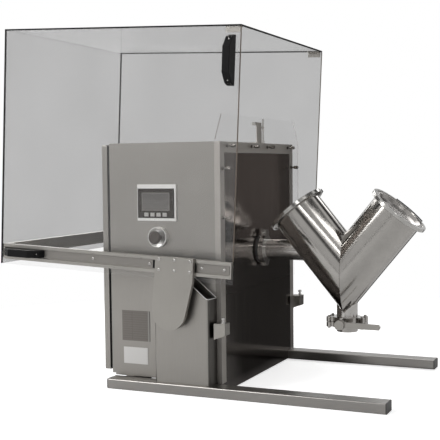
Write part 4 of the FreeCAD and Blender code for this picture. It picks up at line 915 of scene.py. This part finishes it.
def facing(place: Point, direction: Point) -> Matrix:
    """Frame whose Z axis points along a direction.

    Args:
        place: Its origin in millimetres.
        direction: Where Z points.

    Returns:
        The frame.
    """
    turn = Vector(direction).to_track_quat("Z", "Y").to_matrix().to_4x4()
    return Matrix.Translation(Vector(place)) @ turn


def even(radius: float, height: float, steps: int) -> list[tuple[float, float]]:
    """One round ring of a lathe."""
    return [(radius, height)] * steps


@dataclass(frozen=True)
class ButtonScrew:
    """Low domed screw with a hexagon socket."""

    radius: float = 7.0
    height: float = 4.0
    socket: float = 3.4
    depth: float = 2.2
    steps: int = LATHE_STEPS

    def add(self, piece: Piece, frame: Matrix) -> None:
        """Adds one screw head.

        Args:
            piece: The mesh it goes into.
            frame: Its seat, with Z out of the head.
        """
        shares = ((1.0, 0.0), (1.0, 0.2), (0.95, 0.48), (0.84, 0.76), (0.68, 0.94), (0.56, 1.0))
        rows = [even(self.radius * r, self.height * h, self.steps) for r, h in shares]
        rows.append(self._hexagon(self.height))
        rows.append(self._hexagon(self.height - self.depth))
        piece.lathe(frame, rows)

    def _hexagon(self, height: float) -> list[tuple[float, float]]:
        """Ring of the socket, with six flats.

        Args:
            height: Height over the seat.

        Returns:
            Radius and height at each step round.
        """
        row = []
        for step in range(self.steps):
            angle = (2 * math.pi * step / self.steps) % (math.pi / 3) - math.pi / 6
            row.append((self.socket * math.cos(math.pi / 6) / math.cos(angle), height))
        return row


# Studio


@dataclass
class Studio:
    """Plain floor, soft light and the camera at the photo's angle."""

    place: Point = (1.6275, -4.0467, 0.9373)
    yaw: float = 24.065
    pitch: float = 3.147
    roll: float = -0.628
    focal: float = 969.6
    frame_width: float = 440.0
    sensor: float = 36.0
    floor_size: float = 14.0
    floor_colour: Colour = (0.86, 0.86, 0.86)
    floor_glow: float = 0.55
    white_from: float = 1.3
    white_over: float = 1.4
    # Painted shade: edges of a wedge of floor under and behind the machine that reflections and bounced light
    # see as dark.
    wedge_front: float = -0.5
    wedge_right: float = 0.3
    wedge_slope: float = 0.5
    wedge_fade: float = 0.2
    flag_side: float = 0.15
    flag_end: float = 0.62
    flag_top: float = 0.26
    flag_tone: Colour = (0.11, 0.1, 0.095)
    room_bands: tuple[tuple[float, float], ...] = (
        (0.0, 0.74), (0.24, 0.8), (0.28, 0.06), (0.38, 0.06), (0.42, 1.0), (0.52, 1.0), (0.55, 0.04),
        (0.65, 0.04), (0.68, 1.0), (0.72, 1.0), (0.74, 0.05), (0.84, 0.05), (0.88, 0.9))
    side_from: float = -0.45
    side_over: float = 0.1
    side_bands: tuple[tuple[float, float], ...] = (
        (0.0, 0.74), (0.275, 0.74), (0.3, 1.0), (0.345, 1.0), (0.365, 0.06), (0.41, 0.06), (0.46, 0.62),
        (0.6, 0.5))
    side_edge: float = 6.0
    end_edge: float = 8.0
    flag_depth: float = 0.3
    room_light: float = 0.36
    room_tone: tuple[float, ...] = (0.9, 0.9, 0.9, 1.0)
    painted_floor_shade: Colour = (0.03, 0.028, 0.026)
    floor_roughness: float = 0.7
    floor_gloss: float = 0.1
    floor_drop: float = 0.0005
    reach: float = 60.0
    aim: Point = (0.0, 0.0, 0.6)
    lamps: tuple[tuple[str, Point, float, float, float], ...] = (
        ("key", (-2.6, -3.6, 3.8), 2.6, 2.6, 165.0),
        ("fill", (3.6, -2.6, 2.6), 2.8, 2.8, 14.0),
        ("back", (0.4, 3.4, 3.6), 2.6, 2.6, 70.0),
        ("rear_left", (-3.4, 2.6, 2.6), 2.8, 2.8, 110.0),
        ("strip_front", (2.2, -3.2, 2.9), 2.4, 0.16, 9.0),
        ("strip_right", (3.2, -0.7, 3.7), 2.4, 0.16, 9.0))

    def build(self) -> None:
        """Adds floor, camera, lamps and world."""
        self._camera()
        self._floor()
        self._lamps()
        self._world()
        bpy.context.scene.view_settings.view_transform = "Standard"

    def _camera(self) -> None:
        """Camera that was fitted to the photo's straight edges."""
        data = bpy.data.cameras.new("camera")
        data.sensor_width = self.sensor
        data.lens = self.focal / self.frame_width * self.sensor
        data.clip_end = self.reach
        camera = bpy.data.objects.new("camera", data)
        bpy.context.scene.collection.objects.link(camera)
        turn, down, lean = (math.radians(value) for value in (self.yaw, self.pitch, self.roll))
        forward = Vector((-math.sin(turn) * math.cos(down), math.cos(turn) * math.cos(down), -math.sin(down)))
        level = Vector((math.cos(turn), math.sin(turn), 0.0))
        rise = level.cross(forward)
        right = math.cos(lean) * level + math.sin(lean) * rise
        up = math.cos(lean) * rise - math.sin(lean) * level
        axes = Matrix((right, up, -forward)).transposed().to_4x4()
        camera.matrix_world = Matrix.Translation(Vector(self.place)) @ axes
        bpy.context.scene.camera = camera

    def _floor(self) -> None:
        """Large pale floor that looks white to the camera but keeps the shadow, with a painted-shade wedge
        under and behind the machine for all other rays.
        """
        half = self.floor_size / 2
        data = bpy.data.meshes.new("floor")
        corners = [(-half, -half, 0), (half, -half, 0), (half, half, 0), (-half, half, 0)]
        data.from_pydata(corners, [], [(0, 1, 2, 3)])
        floor = bpy.data.objects.new("floor", data)
        floor.location = (0.0, 0.0, -self.floor_drop)
        bpy.context.scene.collection.objects.link(floor)
        material = bpy.data.materials.new("floor_paint")
        material.use_nodes = True
        graph = Graph(material.node_tree)
        tone = graph.noise(graph.place(), 1.5, 2.0)
        shade = graph.blend(tone, tuple(0.98 * part for part in self.floor_colour), self.floor_colour)
        reach = graph.node("ShaderNodeVectorMath", {"operation": "LENGTH"}, {0: graph.place()}, "Value")
        away = graph.share((reach - self.white_from) / self.white_over)
        # Painted shade: rays other than the camera's see the wedge dark, so metal mirrors a shaded floor
        # there.
        across, along, _ = graph.axes()
        front = graph.share((along - self.wedge_front) / self.wedge_fade)
        right = graph.share((self.wedge_slope * along + self.wedge_right - across) / self.wedge_fade)
        left = graph.share((across + self.wedge_fade / 2) / self.wedge_fade)
        painted_shade_wedge = front * right * left
        sheet = graph.surface(Base_Color=graph.blend(painted_shade_wedge, shade, self.painted_floor_shade),
                              Roughness=self.floor_roughness, Specular_IOR_Level=self.floor_gloss)
        paint = graph.surface(Base_Color=shade, Roughness=self.floor_roughness,
                              Specular_IOR_Level=self.floor_gloss)
        glow = graph.node("ShaderNodeEmission", None, {"Color": WHITE, "Strength": self.floor_glow})
        lifted = graph.node("ShaderNodeAddShader", None, {0: paint, 1: glow})
        white = graph.node("ShaderNodeEmission", None, {"Color": WHITE, "Strength": 1.0})
        seen = graph.node("ShaderNodeMixShader", None, {0: away, 1: lifted, 2: white})
        graph.finish(graph.node("ShaderNodeMixShader", None, {0: self._straight(graph), 1: sheet, 2: seen}))
        data.materials.append(material)

    @staticmethod
    def _straight(graph: Graph) -> Socket:
        """One for rays that come from the camera, also through clear sheets.

        Args:
            graph: The material's graph.

        Returns:
            The mask.
        """
        seen = graph.node("ShaderNodeLightPath", output="Is Camera Ray")
        clear = graph.node("ShaderNodeLightPath", output="Is Transmission Ray")
        return seen.math(Operation.MAXIMUM, clear)

    def _lamps(self) -> None:
        """Large soft lamps."""
        for name, place, size, height, watts in self.lamps:
            data = bpy.data.lights.new(name, "AREA")
            data.shape = "RECTANGLE"
            data.size = size
            data.size_y = height
            data.energy = watts
            lamp = bpy.data.objects.new(name, data)
            turn = (Vector(self.aim) - Vector(place)).to_track_quat("-Z", "Y").to_matrix().to_4x4()
            lamp.matrix_world = Matrix.Translation(Vector(place)) @ turn
            bpy.context.scene.collection.objects.link(lamp)

    @staticmethod
    def _bands(graph: Graph, value: Socket, bands: Sequence[tuple[float, float]]) -> Socket:
        """Grey levels along a direction, as a colour."""
        return graph.ramp(value, tuple((place, (level, level, level)) for place, level in bands))

    def _world(self) -> None:
        """White backdrop for the camera and a soft grey room for the light."""
        world = bpy.data.worlds.new("room")
        bpy.context.scene.world = world
        world.use_nodes = True
        graph = Graph(world.node_tree)
        place = graph.node("ShaderNodeTexCoord", output="Generated")
        across = graph.node("ShaderNodeSeparateXYZ", None, {0: place}, 0)
        deep = graph.node("ShaderNodeSeparateXYZ", None, {0: place}, 1)
        up = graph.node("ShaderNodeSeparateXYZ", None, {0: place}, 2)
        bands = self._bands(graph, up, self.room_bands)
        side = graph.share((self.side_from - across) / self.side_over)
        bands = graph.blend(side, bands, self._bands(graph, 0.5 * deep + 0.5, self.side_bands))
        begin = graph.share((across - self.flag_side) * self.side_edge)
        end = graph.share((self.flag_end - across) * self.end_edge)
        flag = begin * end * (deep > self.flag_depth) * (up < self.flag_top)
        room = graph.blend(flag, bands, self.flag_tone)
        mirrored = graph.node("ShaderNodeLightPath", output="Is Glossy Ray")
        straight = self._straight(graph)
        lit = graph.node("ShaderNodeBackground", None, {"Color": self.room_tone, "Strength": self.room_light})
        gloss = graph.node("ShaderNodeBackground", None, {"Color": room, "Strength": 1.0})
        white = graph.node("ShaderNodeBackground", None, {"Color": WHITE, "Strength": 1.0})
        inner = graph.node("ShaderNodeMixShader", None, {0: mirrored, 1: lit, 2: gloss})
        outer = graph.node("ShaderNodeMixShader", None, {0: straight, 1: inner, 2: white})
        graph.node("ShaderNodeOutputWorld", None, {"Surface": outer})


# The machine


@dataclass
class FloorFrame:
    """Two long tubes and two cross tubes, with caps in the ends."""

    frame: dict

    def build(self) -> None:
        """Dresses tubes and end caps."""
        dress(self.frame, TUBE_STEEL, "base_frame")
        dress(self.frame, CAP_PLASTIC, "tube_end_caps")


@dataclass
class Cabinet:
    """Sheet cabinet with its drive wall, pillars, stops and service cover."""

    frame: dict
    cover_face: float = -538.0
    screw_half: float = 416.0
    screw_rows: tuple[float, float, float] = (85.0, 550.0, 1015.0)
    cabinet_half: float = 436.0
    pillar_front: float = 496.0
    corner: float = 16.0
    mouth_left: float = -133.0
    mouth_right: float = -16.0
    mouth_back: float = -4.0
    rear_left: float = -112.0
    mouth_low: float = 400.0
    slope: float = 0.829
    pitch: float = 0.285
    bead: float = 1.9
    bead_lift: float = 2.0
    corner_steps: int = 6

    def build(self) -> None:
        """Dresses the sheet parts and adds detailed cover screws and bright beads on the pillar mouths' rims
        as a painted highlight.
        """
        dress(self.frame, SHEET_STEEL, "cabinet_shell", "service_cover")
        dress(self.frame, PILLAR_STEEL, "pivot_pillars")
        dress(self.frame, WALL_STEEL, "drive_wall_frame", "sensor_bracket")
        dress(self.frame, ARM_STEEL, "closed_stop_brackets")
        dress(self.frame, DARK_WALL, "mirror_panel")
        dress(self.frame, RUBBER, "cover_gasket", "open_stop_buffers")
        dress(self.frame, SCREW_STEEL, "closed_stop_studs")
        dress(self.frame, BRONZE, "pivot_bushes")
        dress(self.frame, CHART_PLATE, "front_plates")
        dress(self.frame, BLACK_PLASTIC, "cable_gland")
        dress(self.frame, SENSOR_PLASTIC, "safety_sensor")
        self._screws()
        self._mouth_highlight_beads()

    def _screws(self) -> None:
        """Socket screws of the service cover."""
        piece = Piece("cover_screw_heads")
        for y in (-self.screw_half, self.screw_half):
            for z in self.screw_rows:
                ButtonScrew().add(piece, facing((self.cover_face, y, z), (-1, 0, 0)))
        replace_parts(piece.make(SCREW_STEEL, "machine"), "cover_screws")

    def _mouth_highlight_beads(self) -> None:
        """Beads along the rims of the pillars' slanted mouths, in bright trim steel: the edge is real, its
        bright line a painted highlight.
        """
        piece = Piece("pillar_mouth_highlight_beads")
        for side in (-1, 1):
            turns = [math.radians(90.0 / self.corner_steps * step) for step in range(self.corner_steps + 1)]
            corner = [(self.mouth_right - self.corner * (1 - math.sin(turn)),
                       self.pillar_front - self.corner * (1 - math.cos(turn))) for turn in turns]
            root = self.cabinet_half + self.bead_lift
            front = [(self.mouth_left, self.pillar_front)] + corner + [(self.mouth_back, root)]
            rear = [(self.rear_left, root), (self.mouth_back, root)]
            for path in (front, rear):
                piece.sweep([Vector((x, side * y, self._mouth_height(x, y))) for x, y in path], self.bead)
        piece.make(TRIM_STEEL, "machine")

    def _mouth_height(self, x: float, y: float) -> float:
        """Height of the mouth's slanted plane, as in the solids."""
        return self.mouth_low - self.slope * (x - self.mouth_back) - self.pitch * (y - self.cabinet_half)


@dataclass
class OperatorPanel:
    """Screen, keys and emergency stop on the cabinet's front."""

    frame: dict

    def build(self) -> None:
        """Dresses the panel's parts."""
        dress(self.frame, TRIM_STEEL, "hmi_surround", "estop_collar")
        dress(self.frame, BEZEL_PLASTIC, "hmi_housing")
        dress(self.frame, DISPLAY, "hmi_screen")
        dress(self.frame, KEY_PLASTIC, "hmi_key_1", "hmi_key_2", "hmi_key_3", "hmi_key_4")
        dress(self.frame, STOP_PLASTIC, "estop_button")


@dataclass
class Drive:
    """Gearbox, motor and bearing behind the wall, and the control gear."""

    frame: dict

    def build(self) -> None:
        """Dresses the drive's parts."""
        dress(self.frame, GEARBOX_PAINT, "gearbox", "flange_bearing")
        dress(self.frame, MOTOR_PAINT, "drive_motor")
        dress(self.frame, CONTROL_PAINT, "control_gear")
        dress(self.frame, CAP_PLASTIC, "shaft_seal")
        dress(self.frame, RING_STEEL, "drive_shaft", "vessel_clamp")


@dataclass
class Shield:
    """Clear plate in front of the drive wall, held by knurled knobs."""

    frame: dict
    wall: float = 17.0
    back: float = 20.0
    front: float = 26.0
    radius: float = 7.5
    length: float = 28.0
    flutes: int = 18
    top_row: tuple[float, ...] = (-360.0, -95.0, 95.0, 360.0)
    top_height: float = 1024.0
    edge_half: float = 497.2
    edge_top: float = 1152.2
    cut_across: float = 65.0
    cut_down: float = 105.0
    edge_low: float = 486.0
    bead: float = 1.1
    side_half: float = 411.0
    side_rows: tuple[float, ...] = (526.0, 728.0, 930.0)
    flute: float = 0.7
    neck_share: float = 0.62
    neck_length: float = 8.0
    chamfer: float = 1.4
    dimple: float = 3.6

    def build(self) -> None:
        """Dresses the plate and adds the knurled knobs."""
        dress(self.frame, SHIELD_SHEET, "shield_plate")
        piece = Piece("shield_knurled_knobs")
        for y, z in self._places():
            piece.lathe(facing((self.wall, y, z), (1, 0, 0)),
                        [even(self.radius, height, LATHE_STEPS) for height in (0.0, self.back - self.wall)])
            self._knob(piece, facing((self.front, y, z), (1, 0, 0)))
        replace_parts(piece.make(KNOB_STEEL, "machine"), "shield_knobs")
        self._edges()

    def _edges(self) -> None:
        """Cut edges of the plate, drawn as beads: the near slant in painted shade, the uprights and the far
        slant as painted highlights.
        """
        x = (self.back + self.front) / 2
        across = self.edge_half - self.cut_across
        down = self.edge_top - self.cut_down
        dark = Piece("shield_slant_edge_shade")
        dark.sweep([Vector((x, -self.edge_half, down)), Vector((x, -across, self.edge_top))], self.bead)
        dark.make(PAINTED_EDGE_SHADE, "machine")
        pale = Piece("shield_edge_highlights")
        near = [(-self.edge_half, self.edge_low), (-self.edge_half, down)]
        far = [(across, self.edge_top), (self.edge_half, down), (self.edge_half, self.edge_low)]
        for path in (near, far):
            pale.sweep([Vector((x, y, z)) for y, z in path], self.bead)
        pale.make(PAINTED_EDGE_HIGHLIGHT, "machine")

    def _places(self) -> list[tuple[float, float]]:
        """Y and Z of each knob."""
        places = [(y, self.top_height) for y in self.top_row]
        return places + [(side * self.side_half, z) for side in (-1, 1) for z in self.side_rows]

    def _knob(self, piece: Piece, frame: Matrix) -> None:
        """Knurled knob with a smooth neck and a chamfered end.

        Args:
            piece: The mesh it goes into.
            frame: Its seat, with Z out of the knob.
        """
        steps = 2 * self.flutes
        fluted = [self.radius if step % 2 else self.radius - self.flute for step in range(steps)]
        neck = self.radius * self.neck_share
        foot = self.neck_length + self.chamfer
        rows = [even(neck, 0.0, steps), even(neck, self.neck_length, steps),
                even(self.radius - 0.8, self.neck_length + 0.4, steps)]
        rows += [[(radius, height) for radius in fluted] for height in (foot, self.length - 1.6)]
        rows += [even(self.radius - self.chamfer, self.length, steps),
                 even(self.radius - self.dimple, self.length, steps),
                 even(self.radius - self.dimple - 0.2, self.length - 1.2, steps)]
        piece.lathe(frame, rows)


@dataclass
class Hood:
    """Clear guard hood on two arms, drawn upright and leaned over its pivot."""

    frame: dict
    pivot_x: float = -173.0
    pivot_z: float = 347.0
    tilt: float = 2.8
    strip_face: float = 516.0
    arm_face: float = 543.0
    strip_screws: tuple[float, ...] = (-378.0, -106.0, 133.0, 232.0)
    strip_height: float = 188.0
    arm_columns: tuple[float, ...] = (-49.0, 21.0, 91.0)
    arm_rows: tuple[float, ...] = (171.0, 214.0)
    mouth: float = 264.2
    panel_middle: float = 506.0
    edge_low: float = 224.0
    edge_high: float = 1155.0
    slot_shadow_face: float = 516.0
    # Painted shadow: place along the bars and width of each dark slab that stands for the shade in a slot.
    slot_shadow_spans: tuple[tuple[float, float], ...] = ((-87.0, 9.0), (256.0, 5.0))
    edge_size: tuple[float, float] = (3.0, 6.6)
    edge_bevel: float = 0.6
    slot_shadow_size: tuple[float, float] = (2.0, 34.0)
    slot_shadow_bevel: float = 0.5
    handle_screw: ButtonScrew = ButtonScrew(radius=4.4, height=3.0, socket=2.2)
    handle_seats: tuple[tuple[float, ...], ...] = (
        (228.0, 539.0, 1021.0, 0.0, 80.0), (-726.0, 546.0, 188.0, 80.0, 0.0))

    def build(self) -> None:
        """Dresses the hood and adds its screws."""
        dress(self.frame, CLEAR_SHEET, "hood_front_panel")
        dress(self.frame, SMOKED_SHEET, "hood_rear_panel", "hood_end_panel")
        dress(self.frame, TOP_SHEET, "hood_top_panel")
        dress(self.frame, RUBBER, "hood_corner_seals")
        dress(self.frame, BAR_STEEL, "hood_bars", "hood_gussets", "hood_stop_lugs")
        dress(self.frame, STRIP_STEEL, "hood_bar_strips")
        dress(self.frame, ARM_STEEL, "hood_arms", "hood_pivot_shaft")
        dress(self.frame, HANDLE_PLASTIC, "hood_handles")
        # Painted shade on the long panels' cut edges.
        self._edges()
        # Painted shadow in the strips' slots.
        self._slot_shadows()
        self._handle_screws()
        piece = Piece("hood_screw_heads")
        for side in (-1, 1):
            for along in self.strip_screws:
                self._screw(piece, side, along, self.strip_face, self.strip_height)
            for along in self.arm_columns:
                for height in self.arm_rows:
                    self._screw(piece, side, along, self.arm_face, height)
        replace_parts(piece.make(SCREW_STEEL, "hood"), "hood_screws")

    def _edges(self) -> None:
        """Cut edges of the two long panels at the hood's mouth, as slabs in painted shade."""
        piece = Piece("hood_panel_edge_shade")
        middle = (self.edge_low + self.edge_high) / 2
        size = (*self.edge_size, self.edge_high - self.edge_low)
        for side in (-1, 1):
            piece.slab(self._leaning(self.mouth, side * self.panel_middle, middle), size, self.edge_bevel)
        piece.make(PAINTED_EDGE_SHADE, "hood")

    def _slot_shadows(self) -> None:
        """Painted shadow in the slots of the cover strips, beside the arms and at the bars' ends: dark rubber
        slabs on the strips' faces.
        """
        piece = Piece("hood_slot_shadows")
        for side in (-1, 1):
            for along, width in self.slot_shadow_spans:
                seat = self._leaning(along, side * self.slot_shadow_face, self.strip_height)
                piece.slab(seat, (width, *self.slot_shadow_size), self.slot_shadow_bevel)
        piece.make(RUBBER, "hood")

    def _handle_screws(self) -> None:
        """Two small screws in each bow handle."""
        piece = Piece("hood_handle_screws")
        for along, face, height, step_along, step_up in self.handle_seats:
            for way in (-1, 1):
                seat = self.place(along + way * step_along, -face, height + way * step_up)
                self.handle_screw.add(piece, facing(seat, (0, -1, 0)))
        piece.make(SCREW_STEEL, "hood")

    def _leaning(self, along: float, y: float, height: float) -> Matrix:
        """Frame at a point of the hood, turned as the hood leans."""
        lean = Matrix.Rotation(math.radians(self.tilt), 4, "Y")
        return Matrix.Translation(Vector(self.place(along, y, height))) @ lean

    def _screw(self, piece: Piece, side: int, along: float, face: float, height: float) -> None:
        """One screw on the front or rear of the hood."""
        ButtonScrew().add(piece, facing(self.place(along, side * face, height), (0, side, 0)))

    def place(self, along: float, y: float, height: float) -> Point:
        """Point of the leaning hood.

        Args:
            along: Along the bars from the pivot.
            y: Across the machine.
            height: Across the bars from the pivot.

        Returns:
            The place in millimetres.
        """
        lean = math.radians(self.tilt)
        x = along * math.cos(lean) + height * math.sin(lean)
        z = height * math.cos(lean) - along * math.sin(lean)
        return (self.pivot_x + x, y, self.pivot_z + z)


@dataclass
class Vessel:
    """V-shaped vessel with its lids, clamp rings, levers and valve."""

    frame: dict
    middle: float = 421.0
    cross: float = 468.0
    shaft: float = 566.0
    angle: float = 39.5
    radius: float = 114.5
    neck: float = 45.0
    bead: float = 1.3
    steps: int = 72

    def build(self) -> None:
        """Dresses the vessel and adds its weld beads."""
        dress(self.frame, VESSEL_STEEL, "vessel_legs", "valve_body", "valve_disc")
        dress(self.frame, LIT_FITTING_STEEL, "vessel_fittings")
        dress(self.frame, LID_STEEL, "left_lid", "right_lid")
        dress(self.frame, RING_STEEL, "left_clamp_ring", "right_clamp_ring")
        dress(self.frame, RUBBER, "lid_seals")
        dress(self.frame, BLACK_PLASTIC, "left_ring_lever", "right_ring_lever")
        dress(self.frame, BAR_STEEL, "valve_lever")
        piece = Piece("vessel_weld_beads")
        piece.sweep(self._mitre_seam(), self.bead)
        piece.sweep(self._stub_seam(), self.bead, closed=True)
        piece.sweep(self._neck_seam(), self.bead, closed=True)
        piece.make(VESSEL_STEEL, "rotor")

    def _lean(self) -> tuple[float, float]:
        """Sine and cosine of a leg's angle."""
        return math.sin(math.radians(self.angle)), math.cos(math.radians(self.angle))

    def _mitre_seam(self) -> list[Vector]:
        """Where the two legs meet, open at the outlet.

        Returns:
            Points along the seam.
        """
        sine, _ = self._lean()
        start = math.asin(self.neck / self.radius)
        points = []
        for step in range(self.steps + 1):
            turn = start + (2 * math.pi - 2 * start) * step / self.steps
            y = self.radius * math.sin(turn)
            z = -self.radius * math.cos(turn) / sine
            points.append(Vector((self.middle, y, self.cross + z)))
        return points

    def _stub_seam(self) -> list[Vector]:
        """Where the drive stub meets the left leg.

        Returns:
            Points round the seam.
        """
        sine, cosine = self._lean()
        points = []
        for step in range(self.steps):
            turn = 2 * math.pi * step / self.steps
            y = self.neck * math.cos(turn)
            z = self.shaft + self.neck * math.sin(turn)
            x = (-math.sqrt(self.radius ** 2 - y ** 2) - (z - self.cross) * sine) / cosine
            points.append(Vector((self.middle + x, y, z)))
        return points

    def _neck_seam(self) -> list[Vector]:
        """Where the outlet neck meets both legs.

        Returns:
            Points round the seam.
        """
        sine, cosine = self._lean()
        points = []
        for step in range(self.steps):
            turn = 2 * math.pi * step / self.steps
            x = self.neck * math.cos(turn)
            y = self.neck * math.sin(turn)
            z = (abs(x) * cosine - math.sqrt(self.radius ** 2 - y ** 2)) / sine
            points.append(Vector((self.middle + x, y, self.cross + z)))
        return points


def main() -> None:
    """Builds the studio and every part of the machine in order."""
    logging.basicConfig(level=logging.INFO, format="%(name)s %(message)s")
    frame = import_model()
    Studio().build()
    for part in (FloorFrame, Cabinet, OperatorPanel, Drive, Shield, Hood, Vessel):
        part(frame).build()
        LOG.info("%s done", part.__name__)


if __name__ == "__main__":
    main()
